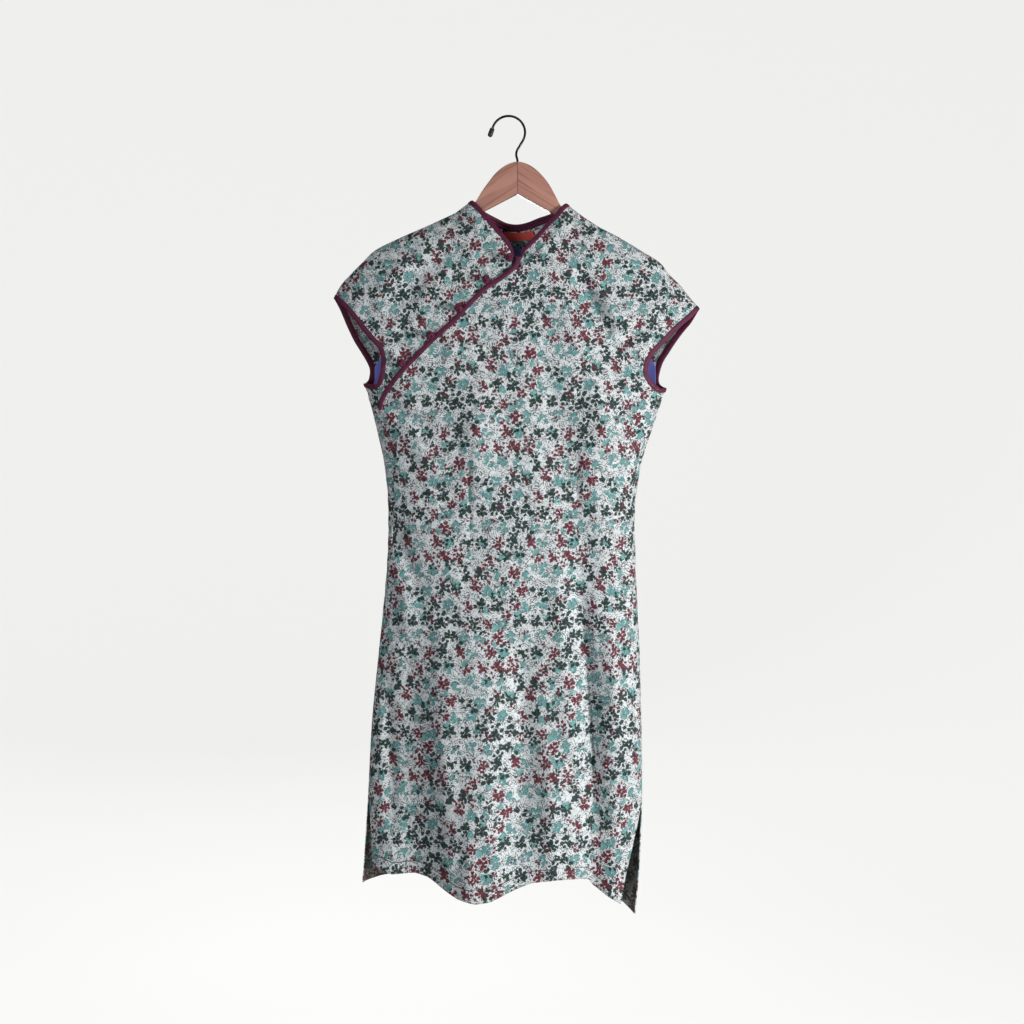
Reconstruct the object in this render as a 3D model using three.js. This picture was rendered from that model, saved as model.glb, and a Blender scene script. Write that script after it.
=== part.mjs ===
// A sleeveless printed cheongsam dress on its wooden hanger, in millimetres, +Z up.
// The origin is the inner top of the hanger's hook, where a rail holds it.
// The front of the dress faces -Y and the wearer's right side is at -X.
import * as THREE from "three";
import { mergeVertices } from "three/addons/utils/BufferGeometryUtils.js";

const FRONT = -1;
const BACK = 1;

// Cloth thicknesses and the gaps between sewn pieces.
const CLOTH = 1.4;
const LINING = 1.2;
const SEAM_GAP = 0.3;
const EDGE_GAP = 0.3;
const FACING_INSET = 3;
const LINING_INSET = 4.6;

// The bindings: their width, and how far they stand outside and inside the cloth's face.
const BINDING_WIDTH = 7;
const BINDING_PROUD = 1;
const BINDING_BEHIND = 2.4;
const CUT_BACK = BINDING_WIDTH + EDGE_GAP;

// The lapped front lies this far over the panel under it, and reaches this far past its edge.
const LAP_LIFT = 2;
const LAP_WIDTH = 25;
const LAP_FADE = [30, 90];
const LAP_SIDE = 1.2;
const LAP_SHAPED = 10;
const LAP_CORNERS = [[12, -221], [20, -246]];

// Rows of facets beside the armholes, with their spacing's power, and the heights of those below.
const ARM_ROWS = 15;
const ARM_WARP = 1.3;
const CHEST_LEVELS = [-400, -425, -460, -500, -545];
const SKIRT_LEVELS = [-590, -640, -695, -750, -810, -865, -920, -975, -1020];
const UPPER_ROWS = ARM_ROWS + CHEST_LEVELS.length;

// Cross-sections of the dress. Below the shoulder tips, down to the underarm, the widths are
// those of the hull that the open armholes are cut from.
const SECTIONS = [
  // z, left x, right x, front depth, back depth
  [-134, -74, 97, 20, 18],
  [-152, -113, 124, 25, 22],
  [-169, -152, 156, 29, 25],
  [-186, -186, 184, 32, 28],
  [-203, -204, 211, 35, 30],
  [-220, -221, 225, 37, 32],
  [-236, -235, 241, 39, 33],
  [-254, -244, 255, 41, 34],
  [-270, -246, 267, 43, 35],
  [-300, -238, 262, 46, 37],
  [-330, -224, 243, 48, 38],
  [-360, -209, 229, 49, 38],
  [-380, -200, 221, 49, 38],
  [-424, -188, 206, 48, 36],
  [-480, -175, 188, 46, 34],
  [-540, -169, 178, 44, 34],
  [-620, -170, 178, 44, 36],
  [-732, -180, 183, 47, 38],
  [-844, -191, 186, 51, 40],
  [-956, -197, 187, 55, 42],
  [-1068, -204, 182, 60, 44],
  [-1125, -207, 176, 62, 45],
];

// How far in from the widest line each panel's side edge lies on the front. The back panel
// wraps forward to meet the front one, down to the slits, where both edges are free.
const SIDE_EDGES = [
  // z, front left, front right, back left, back right
  [-376, 17, 10, 17, 10],
  [-400, 13, 8, 13, 8],
  [-500, 12, 7, 12, 7],
  [-560, 8, 4, 8, 4],
  [-650, 3, 2, 3, 2],
  [-750, 0, 0, 0, 0],
  [-920, 0, 0, 0, 0],
  [-955, 3, 1, 0, 0],
  [-1010, 10, 12, 0, 0],
  [-1060, 17, 22, 0, 0],
  [-1125, 20, 28, 0, 0],
];

// The largest folds of the front: each follows a line down the skirt and pushes the cloth out.
const FOLDS = [
  { line: [[-22, -560], [-38, -800], [-45, -1090]], width: [60, 50], push: [0, 26] },
  { line: [[52, -370], [92, -560], [120, -880], [113, -1090]], width: [26, 22], push: [-4, -14] },
  { line: [[118, -400], [146, -720], [152, -1090]], width: [34, 26], push: [5, 8] },
  { line: [[-150, -600], [-136, -820], [-122, -1090]], width: [30, 30], push: [0, -12] },
];

// The edge of each armhole: the fold of its binding, from the shoulder tip to the underarm.
const ARMHOLES = {
  left: {
    front: [
      [-244, -255], [-226, -272], [-212, -289], [-194.5, -311], [-180, -328],
      [-176, -340], [-176.5, -351], [-178.5, -364], [-183, -376],
    ],
    back: [
      [-244, -255], [-236.5, -270], [-228, -290.5], [-217.5, -312.5], [-207, -329.5],
      [-199.5, -342.5], [-196, -351.5], [-196, -360], [-198, -368], [-204, -373], [-217, -376],
    ],
    tip: -255,
    underarm: -376,
  },
  right: {
    front: [
      [267, -270], [256.5, -281.5], [244, -292], [230.5, -304.5], [211.5, -324],
      [200, -337], [194, -349.5], [193, -360], [196.5, -368], [203, -375], [212, -381],
    ],
    back: [
      [267, -270], [257, -287], [247.5, -298.5], [237, -312.5], [226.5, -328.5],
      [218.5, -341.5], [213.5, -356.5], [212, -366], [213.5, -373], [222, -379], [231, -381],
    ],
    tip: -270,
    underarm: -381,
  },
};

// The seam between the collar and the panels, from the wearer's right over to the left.
const FRONT_NECK_LEFT = [[-74, -134], [-66, -141], [-51, -155.5], [-30, -180], [-10, -202], [8.5, -217]];
const FRONT_NECK_RIGHT = [[17.5, -217], [32, -202.5], [54, -179.5], [74, -157], [89, -142], [97, -134]];
const BACK_NECK = [[-74, -134], [-56, -150], [-36, -162], [-14, -169], [11, -172], [36, -169], [58, -161], [80, -149], [97, -134]];

// The collar's stations, from its front end on the wearer's right round to the other one.
const COLLAR = [
  // base x, base z, base side, top x, top y, top z
  [4.5, -213.5, FRONT, 8.5, -30, -200],
  [-4, -207.5, FRONT, 4, -28.5, -184],
  [-18, -193, FRONT, -3, -27, -172.5],
  [-32, -178, FRONT, -13, -23.5, -160],
  [-46, -161.5, FRONT, -26, -18.5, -144],
  [-59, -147.5, FRONT, -38, -13.5, -130],
  [-68, -139, FRONT, -46, -9.5, -121],
  [-72.5, -135, FRONT, -50, -5, -117.5],
  [-74, -134, BACK, -51, 0, -117],
  [-71, -136.5, BACK, -48.5, 7, -119],
  [-56, -150, BACK, -34, 14, -129],
  [-36, -162, BACK, -16, 18, -138],
  [-14, -169, BACK, -3, 20, -144],
  [11, -172, BACK, 11, 21, -146],
  [36, -169, BACK, 26, 20, -143.5],
  [58, -161, BACK, 42, 18, -137.5],
  [80, -149, BACK, 60, 14, -132],
  [94.5, -137, BACK, 77.5, 7, -123.5],
  [97, -134, BACK, 80.5, 0, -121],
  [95, -136, FRONT, 78.5, -5, -122],
  [90, -141, FRONT, 73, -9.5, -127],
  [80, -151, FRONT, 64, -13.5, -139],
  [67, -165, FRONT, 52, -18.5, -152.5],
  [54, -179.5, FRONT, 41, -23.5, -165.5],
  [40, -194.5, FRONT, 30, -27, -177.5],
  [27, -208, FRONT, 21.5, -28.5, -187.5],
  [17.5, -217, FRONT, 16, -30, -199],
];
const COLLAR_CLOTH = 1.6;
const COLLAR_SEAM = 0.05;
const NECK_GAP = 1.2;

// The middle of the binding down the slanting front opening, from the collar to the side seam.
const OPENING = [
  [13.2, -202], [12.5, -209], [9, -215.5], [-11.5, -232.5], [-30.5, -245], [-55.5, -270], [-74, -290.5],
  [-94, -308], [-113, -326.5], [-132, -345], [-152, -366.5], [-166.5, -385], [-175, -401], [-177, -409],
];
const OPENING_PROUD = 3;
const OPENING_BEHIND = -0.4;
const OPENING_CUT = 1.4;

// Hems, left to right.
const FRONT_HEM = [
  [-187, -1043], [-160, -1051], [-128, -1048], [-110, -1052], [-90, -1063], [-70, -1074], [-45, -1079],
  [-25, -1077], [3, -1067], [30, -1057], [65, -1053], [98, -1055], [111, -1058], [116, -1066],
  [133, -1078], [154, -1092],
];
const BACK_HEM = [
  [-204, -1071], [-180, -1066], [-120, -1062], [0, -1063], [80, -1066], [120, -1076], [150, -1093], [176, -1115],
];

// Inside the back: the lower edge of the printed facing, and the lining's lower edge.
const FACING_EDGE = [
  [-190, -352], [-180, -330], [-165, -290], [-150, -258], [-130, -236], [-95, -214], [-50, -203], [11, -192],
  [72, -203], [117, -214], [152, -236], [172, -258], [187, -290], [201, -330], [210, -352],
];
const FACING_ENDS = -352;
const FACING_BELOW_SHOULDER = 19;
const LINING_HEM = -620;
const LINING_SIDE = 9;

// Ball knots and their loops, beside the opening.
const BUTTONS = [[1, -204.5], [-30.5, -234.5], [-68, -274], [-106.5, -311], [-146.5, -348.5]];
const BALL_RADIUS = 5.9;
const BALL_STAND = 8.6;
const SHANK_RADIUS = 1.5;
const LOOP_RADIUS = 4.1;
const LOOP_WIRE = 1.2;
const LOOP_STAND = 2.3;

// The woven label on the collar's inside, and the small tag beside it.
const LABEL = { stations: [12.15, 14.15], heights: [0.12, 0.55] };
const TAG = { stations: [14.25, 14.6], heights: [0.2, 0.5] };

// The hanger.
const WOOD_THICKNESS = 12;
const WOOD_BEVEL = 2.2;
const WOOD_OUTLINE = [
  [12, -107.5], [66, -137.5], [128, -172], [194, -208.5], [201, -211], [204.5, -208], [200, -204],
  [184, -194.5], [156, -178], [124, -161.5], [99, -146.5], [84, -136], [74, -126.5], [65, -110],
  [56, -94], [43, -78.5], [29, -68], [13, -63.4], [-3, -68], [-17, -78.5], [-28, -92],
  [-38, -106], [-47, -120.5], [-60, -134], [-74, -145], [-113, -161], [-152, -178], [-168, -185.5],
  [-176, -191], [-179, -197], [-176, -203], [-169, -202.5], [-92, -162], [-34, -131.5],
];
const WIRE_RADIUS = 1.65;
const HOOK_CENTRE = [0, -21.45];
const HOOK_RADIUS = 23.1;
const HOOK_ARC = [163, -6];
const HOOK_NECK = [[21, -31], [15.7, -40], [11.4, -48], [10.8, -53.5], [12.2, -59], [12.6, -63.1]];
const HOOK_TIP = { top: [-22.3, -15.3], end: [-26.8, -27.8], radius: 3.5 };

const print = { color: 0xb9c3bf, roughness: 0.85, metalness: 0 };
const burgundy = { color: 0x6a2345, roughness: 0.6, metalness: 0 };
const lavender = { color: 0x7076c4, roughness: 0.5, metalness: 0 };
const red = { color: 0xd8412f, roughness: 0.6, metalness: 0 };
const white = { color: 0xe8e6e0, roughness: 0.7, metalness: 0 };
const wood = { color: 0x9b6450, roughness: 0.45, metalness: 0 };
const blackMetal = { color: 0x1c1b1d, roughness: 0.4, metalness: 0.9 };

const lerp = (a, b, t) => a + (b - a) * t;
const clamp = (v, low, high) => Math.min(Math.max(v, low), high);
const smooth = (v, low, high) => {
  const t = clamp((v - low) / (high - low), 0, 1);
  return t * t * (3 - 2 * t);
};

// Column k of a table, as a smooth curve over its first column, which runs downwards.
function tableAt(table, z, k) {
  const last = table.length - 1;
  const at = clamp(z, table[last][0], table[0][0]);
  let i = 0;
  while (i < last - 1 && at < table[i + 1][0]) i += 1;
  const [a, b] = [table[i], table[i + 1]];
  const before = table[Math.max(i - 1, 0)];
  const after = table[Math.min(i + 2, last)];
  const t = (at - a[0]) / (b[0] - a[0]);
  const span = b[0] - a[0];
  const slopeA = ((b[k] - before[k]) / (b[0] - before[0])) * span;
  const slopeB = ((after[k] - a[k]) / (after[0] - a[0])) * span;
  const t2 = t * t;
  const t3 = t2 * t;
  return (
    (2 * t3 - 3 * t2 + 1) * a[k] + (t3 - 2 * t2 + t) * slopeA +
    (3 * t2 - 2 * t3) * b[k] + (t3 - t2) * slopeB
  );
}

const leftAt = (z) => tableAt(SECTIONS, z, 1);
const rightAt = (z) => tableAt(SECTIONS, z, 2);

// The height of a line of [x, z] points at x.
function heightAt(line, x) {
  let i = 0;
  while (i < line.length - 2 && x > line[i + 1][0]) i += 1;
  const [a, b] = [line[i], line[i + 1]];
  return lerp(a[1], b[1], (x - a[0]) / (b[0] - a[0]));
}

// How far the front's folds push the cloth out at a point.
function foldPush(x, z) {
  let push = 0;
  for (const fold of FOLDS) {
    const line = fold.line.map(([px, pz]) => [-pz, px]);
    const top = line[0][0];
    const bottom = line[line.length - 1][0];
    const along = clamp((-z - top) / (bottom - top), 0, 1);
    const middle = heightAt(line, clamp(-z, top, bottom));
    const off = (x - middle) / lerp(fold.width[0], fold.width[1], along);
    push += lerp(fold.push[0], fold.push[1], along) * Math.exp(-off * off) * smooth(-z, top - 60, top + 60);
  }
  return push;
}

// A point of the dress. x may run past the widest line, and the point is then on the other face.
function place(x, z, side, inset) {
  const left = leftAt(z);
  const right = rightAt(z);
  const centre = (left + right) / 2;
  const half = (right - left) / 2;
  let across = (x - centre) / half;
  let face = side;
  if (side === FRONT || z > ARMHOLES.left.underarm + 8) across = clamp(across, -1, 1);
  if (Math.abs(across) > 1) {
    across = Math.sign(across) * 2 - across;
    face = -side;
  }
  const depth = tableAt(SECTIONS, z, face === FRONT ? 3 : 4);
  const bow = Math.sqrt(Math.max(0, 1 - across * across));
  const fold = face === FRONT ? foldPush(x, z) * Math.min(1, 1.4 * bow) : 0;
  const y = face * ((depth - inset) * bow + fold) + side * SEAM_GAP;
  return new THREE.Vector3(centre + (half - inset) * across, y, z);
}

// How far the lapped front lies out from the hull: full beside the opening, fading away from it.
function lapLift(x, z) {
  let nearest = Infinity;
  for (let i = 0; i < OPENING.length - 1; i += 1) {
    const [ax, az] = OPENING[i];
    const [bx, bz] = OPENING[i + 1];
    const t = clamp(((x - ax) * (bx - ax) + (z - az) * (bz - az)) / ((bx - ax) ** 2 + (bz - az) ** 2), 0, 1);
    nearest = Math.min(nearest, Math.hypot(x - lerp(ax, bx, t), z - lerp(az, bz, t)));
  }
  return LAP_LIFT * (1 - smooth(nearest, LAP_FADE[0], LAP_FADE[1]));
}

// A smooth line through [x, z] points, and its normals to one side. A warp over 1 puts its
// points closer together near the start.
function smoothLine(points, count, turn, warp = 1) {
  const curve = new THREE.CatmullRomCurve3(points.map(([x, z]) => new THREE.Vector3(x, 0, z)), false, "centripetal");
  const line = [];
  for (let i = 0; i <= count; i += 1) {
    const along = (i / count) ** warp;
    const p = curve.getPointAt(along);
    const d = curve.getTangentAt(along);
    line.push({ x: p.x, z: p.z, nx: -turn * d.z, nz: turn * d.x });
  }
  return line;
}

// An armhole's edge on one face, moved into the cloth. Its first point stays on the shoulder
// seam and its last one on the side seam.
function armholeLine(name, side, width, count = ARM_ROWS) {
  const hole = ARMHOLES[name];
  const isLeft = name === "left";
  const points = smoothLine(side === FRONT ? hole.front : hole.back, count, isLeft ? 1 : -1, ARM_WARP);
  const line = points.map((p) => [p.x + p.nx * width, p.z + p.nz * width]);
  const tip = hole.tip + width * 0.85;
  line[0] = [isLeft ? leftAt(tip) : rightAt(tip), tip];
  const bottom = hole.underarm - width;
  line[count] = [sideEdge(name, side, bottom), bottom];
  return line;
}

// The x of a panel's side edge, counted past the widest line on the back.
function sideEdge(name, side, z) {
  const column = (side === FRONT ? 1 : 3) + (name === "left" ? 0 : 1);
  const inset = Math.max(0, tableAt(SIDE_EDGES, z, column));
  const inward = name === "left" ? 1 : -1;
  const widest = name === "left" ? leftAt(z) : rightAt(z);
  return widest - side * inward * inset;
}

// The height of a shoulder seam at x, between the collar and the shoulder tip.
function shoulderHeight(name, x) {
  let low = -275;
  let high = SECTIONS[0][0];
  const outside = (z) => (name === "left" ? leftAt(z) > x : rightAt(z) < x);
  for (let i = 0; i < 40; i += 1) {
    const middle = (low + high) / 2;
    if (outside(middle)) high = middle;
    else low = middle;
  }
  return (low + high) / 2;
}

// The top edge of a panel, as height over x: the shoulder seams, and a neck line between them.
function shouldersAndNeck(neck, drop) {
  return (x) => {
    if (x < neck[0][0]) return shoulderHeight("left", x);
    if (x > neck[neck.length - 1][0]) return shoulderHeight("right", x);
    return heightAt(neck, x) - drop;
  };
}

// A side edge's points at some heights.
function sideLine(name, side, levels) {
  return levels.map((z) => [sideEdge(name, side, z), z]);
}

// A line of [x, z] points moved to one side.
function offsetLine(points, count, turn, width) {
  return smoothLine(points, count, turn).map((p) => [p.x + p.nx * width, p.z + p.nz * width]);
}

// Columns, closer together near the two edges.
function columns(count) {
  return Array.from({ length: count + 1 }, (_, i) => {
    const even = i / count;
    return lerp(even, (1 - Math.cos(Math.PI * even)) / 2, 0.75);
  });
}

// A grid of [x, z] between two side lines of as many points, and the edges above and below it,
// which are functions of x.
// The line above shapes the first rows, as many as shaped, and the one below the rest.
function panelGrid(leftLine, rightLine, top, bottom, across, shaped) {
  const last = leftLine.length - 1;
  const bump = (edge, j, k) => {
    const [l, r] = [leftLine[j], rightLine[j]];
    return edge(lerp(l[0], r[0], k)) - lerp(l[1], r[1], k);
  };
  return leftLine.map((l, j) =>
    across.map((k) => {
      const r = rightLine[j];
      const above = Math.max(0, 1 - (j / shaped) ** ARM_WARP);
      const start = shaped < last ? shaped : 0;
      const below = Math.max(0, (j - start) / (last - start)) ** 1.5;
      const z = lerp(l[1], r[1], k) + bump(top, 0, k) * above + bump(bottom, last, k) * below;
      return [lerp(l[0], r[0], k), z];
    }),
  );
}

function geometryOf(points, faces) {
  const geometry = new THREE.BufferGeometry();
  geometry.setAttribute("position", new THREE.BufferAttribute(new Float32Array(points.flatMap((p) => p.toArray())), 3));
  geometry.setIndex(faces.flat());
  return geometry;
}

// The volume that a closed set of triangles holds, negative when its faces point inwards.
function signedVolume(points, faces) {
  let volume = 0;
  for (const [a, b, c] of faces) {
    volume += points[a].dot(new THREE.Vector3().crossVectors(points[b], points[c])) / 6;
  }
  return volume;
}

function facingOut(points, faces) {
  if (signedVolume(points, faces) > 0) return faces;
  return faces.map(([a, b, c]) => [a, c, b]);
}

// A closed wall between two grids of the same size.
function wall(outer, inner) {
  const rows = outer.length;
  const cols = outer[0].length;
  const points = [...outer.flat(), ...inner.flat()];
  const at = (j, i, layer) => layer * rows * cols + j * cols + i;
  const faces = [];
  const quad = (a, b, c, d) => faces.push([a, b, c], [a, c, d]);
  for (let j = 0; j < rows - 1; j += 1) {
    for (let i = 0; i < cols - 1; i += 1) {
      quad(at(j, i, 0), at(j, i + 1, 0), at(j + 1, i + 1, 0), at(j + 1, i, 0));
      quad(at(j, i, 1), at(j + 1, i, 1), at(j + 1, i + 1, 1), at(j, i + 1, 1));
    }
  }
  for (let i = 0; i < cols - 1; i += 1) {
    quad(at(0, i, 0), at(0, i, 1), at(0, i + 1, 1), at(0, i + 1, 0));
    quad(at(rows - 1, i, 0), at(rows - 1, i + 1, 0), at(rows - 1, i + 1, 1), at(rows - 1, i, 1));
  }
  for (let j = 0; j < rows - 1; j += 1) {
    quad(at(j, 0, 0), at(j + 1, 0, 0), at(j + 1, 0, 1), at(j, 0, 1));
    quad(at(j, cols - 1, 0), at(j, cols - 1, 1), at(j + 1, cols - 1, 1), at(j + 1, cols - 1, 0));
  }
  return geometryOf(points, facingOut(points, faces));
}

// A closed ring swept through sections of the same number of points, the last joined to the first.
function ring(sections) {
  const n = sections[0].length;
  const points = sections.flat();
  const faces = [];
  sections.forEach((_, j) => {
    const next = (j + 1) % sections.length;
    for (let i = 0; i < n; i += 1) {
      const step = (i + 1) % n;
      const [a, b, c, d] = [j * n + i, j * n + step, next * n + step, next * n + i];
      faces.push([a, b, c], [a, c, d]);
    }
  });
  return geometryOf(points, facingOut(points, faces));
}

function meshOf(name, geometry, look) {
  const mesh = new THREE.Mesh(geometry, new THREE.MeshStandardMaterial(look));
  mesh.name = name;
  return mesh;
}

// A panel of the dress: its grid laid on the hull, from one inset to another.
function panel(name, grid, side, insets, look, lift = () => 0) {
  const layer = (inset) => grid.map((row) => row.map(([x, z]) => place(x, z, side, inset - lift(x, z))));
  return meshOf(name, wall(layer(insets[0]), layer(insets[1])), look);
}

function backPanel() {
  const sideOf = (name, hem) => [
    ...armholeLine(name, BACK, CUT_BACK),
    ...sideLine(name, BACK, [...CHEST_LEVELS, ...SKIRT_LEVELS, hem]),
  ];
  const left = sideOf("left", BACK_HEM[0][1]);
  const right = sideOf("right", BACK_HEM[BACK_HEM.length - 1][1]);
  const hem = (x) => heightAt(BACK_HEM, x);
  const grid = panelGrid(left, right, shouldersAndNeck(BACK_NECK, NECK_GAP), hem, columns(22), ARM_ROWS);
  return panel("back", grid, BACK, [0, CLOTH], print);
}

function outerFront() {
  const slant = offsetLine(OPENING, 30, 1, BINDING_WIDTH / 2 + OPENING_CUT);
  const start = slant[slant.length - 1][1];
  const hem = [FRONT_HEM[0][1], FRONT_HEM[FRONT_HEM.length - 1][1]];
  const left = sideLine("left", FRONT, [
    ...steps(start, CHEST_LEVELS[CHEST_LEVELS.length - 1], UPPER_ROWS), ...SKIRT_LEVELS, hem[0],
  ]);
  const right = [
    ...armholeLine("right", FRONT, CUT_BACK),
    ...sideLine("right", FRONT, [...CHEST_LEVELS, ...SKIRT_LEVELS, hem[1]]),
  ];
  const edge = [
    left[0],
    ...slant.reverse().filter(([x, z]) => x > left[0][0] + 2 && z < -219),
    ...FRONT_NECK_RIGHT,
  ];
  const top = shouldersAndNeck(edge, 0);
  const lowered = (x) => top(x) - (x > 12 && x < 97 ? NECK_GAP : 0);
  const hemLine = (x) => heightAt(FRONT_HEM, x);
  const grid = panelGrid(left, right, lowered, hemLine, columns(24), UPPER_ROWS);
  return panel("front_outer", grid, FRONT, [0, CLOTH], print, lapLift);
}

function underFront() {
  const hidden = offsetLine(OPENING.slice(3), 12, 1, LAP_WIDTH).reverse();
  const seam = sideLine("left", FRONT, [-390, -400, -412, -425, -440]).map(([x, z]) => [x + LAP_SIDE, z]);
  const left = [...armholeLine("left", FRONT, CUT_BACK), ...seam];
  const top = shouldersAndNeck([...FRONT_NECK_LEFT, LAP_CORNERS[0]], NECK_GAP);
  const rows = left.length - 1;
  const [upper, lower] = LAP_CORNERS;
  const right = left.map((_, j) => [lerp(upper[0], lower[0], j / rows), lerp(upper[1], lower[1], j / rows)]);
  const line = [left[rows], ...hidden.filter(([x]) => x > left[rows][0] + 6 && x < 14), right[rows]];
  const grid = panelGrid(left, right, top, (x) => heightAt(line, x), columns(14), LAP_SHAPED);
  return panel("front_underlap", grid, FRONT, [0, CLOTH], print);
}

function backFacing() {
  const rows = 8;
  const sideOf = (name) => {
    const arm = armholeLine(name, BACK, CUT_BACK, 40);
    const top = arm[0][1] - FACING_BELOW_SHOULDER;
    const kept = arm.filter(([, z]) => z > FACING_ENDS && z < top);
    return steps(0, kept.length - 1, rows).map((i) => kept[Math.round(i)]);
  };
  const left = sideOf("left");
  const right = sideOf("right");
  const seam = shouldersAndNeck(BACK_NECK, NECK_GAP);
  const top = (x) => seam(x) - FACING_BELOW_SHOULDER * smooth(Math.abs(x - 11), 0, 38);
  const line = [left[rows], ...FACING_EDGE.slice(1, -1), right[rows]];
  const grid = panelGrid(left, right, top, (x) => heightAt(line, x), columns(24), rows);
  const insets = [FACING_INSET, FACING_INSET + LINING];
  return panel("facing_back", grid, BACK, insets, print);
}

function backLining() {
  const rows = 10;
  const sideOf = (name) => {
    const arm = armholeLine(name, BACK, CUT_BACK, 40);
    const start = arm.filter(([, z]) => z > FACING_ENDS).pop();
    const inward = name === "left" ? LINING_SIDE : -LINING_SIDE;
    return steps(0, 1, rows).map((t) => {
      const z = lerp(start[1], LINING_HEM, t ** 1.5);
      const free = (name === "left" ? leftAt(z) : rightAt(z)) + inward;
      return [z > ARMHOLES[name].underarm ? start[0] + inward / 4 : free, z];
    });
  };
  const left = sideOf("left");
  const right = sideOf("right");
  const line = [left[0], ...FACING_EDGE.slice(1, -1), right[0]];
  const grid = panelGrid(left, right, (x) => heightAt(line, x), () => LINING_HEM, columns(18), rows);
  const insets = [LINING_INSET, LINING_INSET + LINING];
  return panel("lining_back", grid, BACK, insets, lavender);
}

// The binding round an armhole: a flat ring that wraps the cut edges.
function armholeBinding(name) {
  const faces = [FRONT, BACK].map((side) => {
    const lines = [0, BINDING_WIDTH / 2, BINDING_WIDTH].map((width) => armholeLine(name, side, width));
    return lines[0].map((_, i) => {
      const out = lines.map((line) => place(line[i][0], line[i][1], side, -BINDING_PROUD));
      const within = lines.map((line) => place(line[i][0], line[i][1], side, BINDING_BEHIND));
      return [...out, ...within.reverse()];
    });
  });
  const [front, back] = faces;
  return meshOf("binding_armhole_" + name, ring([...front, ...back.slice(0, -1).reverse()]), burgundy);
}

function openingBinding() {
  const half = BINDING_WIDTH / 2;
  const line = smoothLine(OPENING, 30, 1);
  const layer = (inset) =>
    line.map((p) => [-half, 0, half].map((w) => place(p.x + p.nx * w, p.z + p.nz * w, FRONT, inset)));
  return meshOf("binding_opening", wall(layer(-OPENING_PROUD), layer(OPENING_BEHIND)), burgundy);
}

// A point of the collar: station along it, height from 0 at its seam to 1 at its top edge.
function collarCurves() {
  const base = COLLAR.map(([x, z, side]) => place(x, z, side, 0));
  const top = COLLAR.map((row) => new THREE.Vector3(row[3], row[4], row[5]));
  return [base, top].map((points) => new THREE.CatmullRomCurve3(points, false, "centripetal"));
}

function collarPoint(station, height, inset) {
  const last = COLLAR.length - 1;
  const at = (s, h) => {
    const t = clamp(s / last, 0, 1);
    return new THREE.Vector3().lerpVectors(collarBase.getPoint(t), collarTop.getPoint(t), h);
  };
  const along = new THREE.Vector3().subVectors(at(station + 0.2, height), at(station - 0.2, height));
  const up = new THREE.Vector3().subVectors(at(station, 1), at(station, 0));
  const outward = new THREE.Vector3().crossVectors(up, along).normalize();
  return at(station, height).addScaledVector(outward, inset);
}

const [collarBase, collarTop] = collarCurves();

function collarHeight(station) {
  return collarPoint(station, 1, 0).distanceTo(collarPoint(station, 0, 0));
}

function collarGrid(stations, heights, inset) {
  return stations.map((s) => heights(s).map((h) => collarPoint(s, h, inset)));
}

function steps(from, to, count) {
  return Array.from({ length: count + 1 }, (_, i) => lerp(from, to, i / count));
}

function collar() {
  const stations = steps(0, COLLAR.length - 1, 32);
  const heights = (s) => steps(COLLAR_SEAM, 1 - CUT_BACK / collarHeight(s), 2);
  const outer = collarGrid(stations, heights, 0);
  return meshOf("collar", wall(outer, collarGrid(stations, heights, COLLAR_CLOTH)), print);
}

function collarBinding() {
  const stations = steps(0, COLLAR.length - 1, 32);
  const heights = (s) => [1 - BINDING_WIDTH / collarHeight(s), 1];
  const outer = collarGrid(stations, heights, -0.5);
  return meshOf("binding_collar", wall(outer, collarGrid(stations, heights, BINDING_BEHIND)), burgundy);
}

function ribbon(name, spec, count, thickness, look) {
  const stations = steps(spec.stations[0], spec.stations[1], count);
  const heights = () => spec.heights;
  const near = COLLAR_CLOTH + EDGE_GAP;
  const grids = [near, near + thickness].map((inset) => collarGrid(stations, heights, inset));
  return meshOf(name, wall(grids[0], grids[1]), look);
}

function ballKnot(index, [x, z]) {
  const seat = place(x, z, FRONT, -EDGE_GAP - (index === 0 ? 3 : 0));
  const profile = [new THREE.Vector2(0, 0), new THREE.Vector2(SHANK_RADIUS, 0)];
  for (const angle of steps(-75, 90, 8)) {
    const a = THREE.MathUtils.degToRad(angle);
    profile.push(new THREE.Vector2(BALL_RADIUS * Math.cos(a), BALL_STAND + BALL_RADIUS * Math.sin(a)));
  }
  profile[profile.length - 1].x = 0;
  const geometry = new THREE.LatheGeometry(profile, 12);
  geometry.rotateX(Math.PI);
  geometry.translate(seat.x, seat.y, seat.z);
  return meshOf("button_" + (index + 1), closed(geometry), burgundy);
}

// The geometry with its shared vertices joined and its faces pointing out.
function closed(geometry) {
  geometry.deleteAttribute("normal");
  geometry.deleteAttribute("uv");
  const merged = mergeVertices(geometry, 1e-3);
  const position = merged.getAttribute("position");
  const points = Array.from({ length: position.count }, (_, i) => new THREE.Vector3().fromBufferAttribute(position, i));
  const index = merged.index.array;
  const faces = [];
  for (let i = 0; i < index.length; i += 3) {
    const face = [index[i], index[i + 1], index[i + 2]];
    if (new Set(face).size === 3) faces.push(face);
  }
  return geometryOf(points, facingOut(points, faces));
}

// The cord loop round a knot's shank, its two ends towards the binding.
function cordLoop(index, [x, z]) {
  const seat = place(x, z, FRONT, -LOOP_STAND - (index === 0 ? 3 : 0));
  const points = steps(-95, 95, 8).map((angle) => {
    const a = THREE.MathUtils.degToRad(angle + 135);
    return new THREE.Vector3(seat.x + LOOP_RADIUS * Math.cos(a), seat.y, seat.z + LOOP_RADIUS * Math.sin(a));
  });
  return meshOf("loop_" + (index + 1), tube(points, LOOP_WIRE, 6, 18), burgundy);
}

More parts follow.
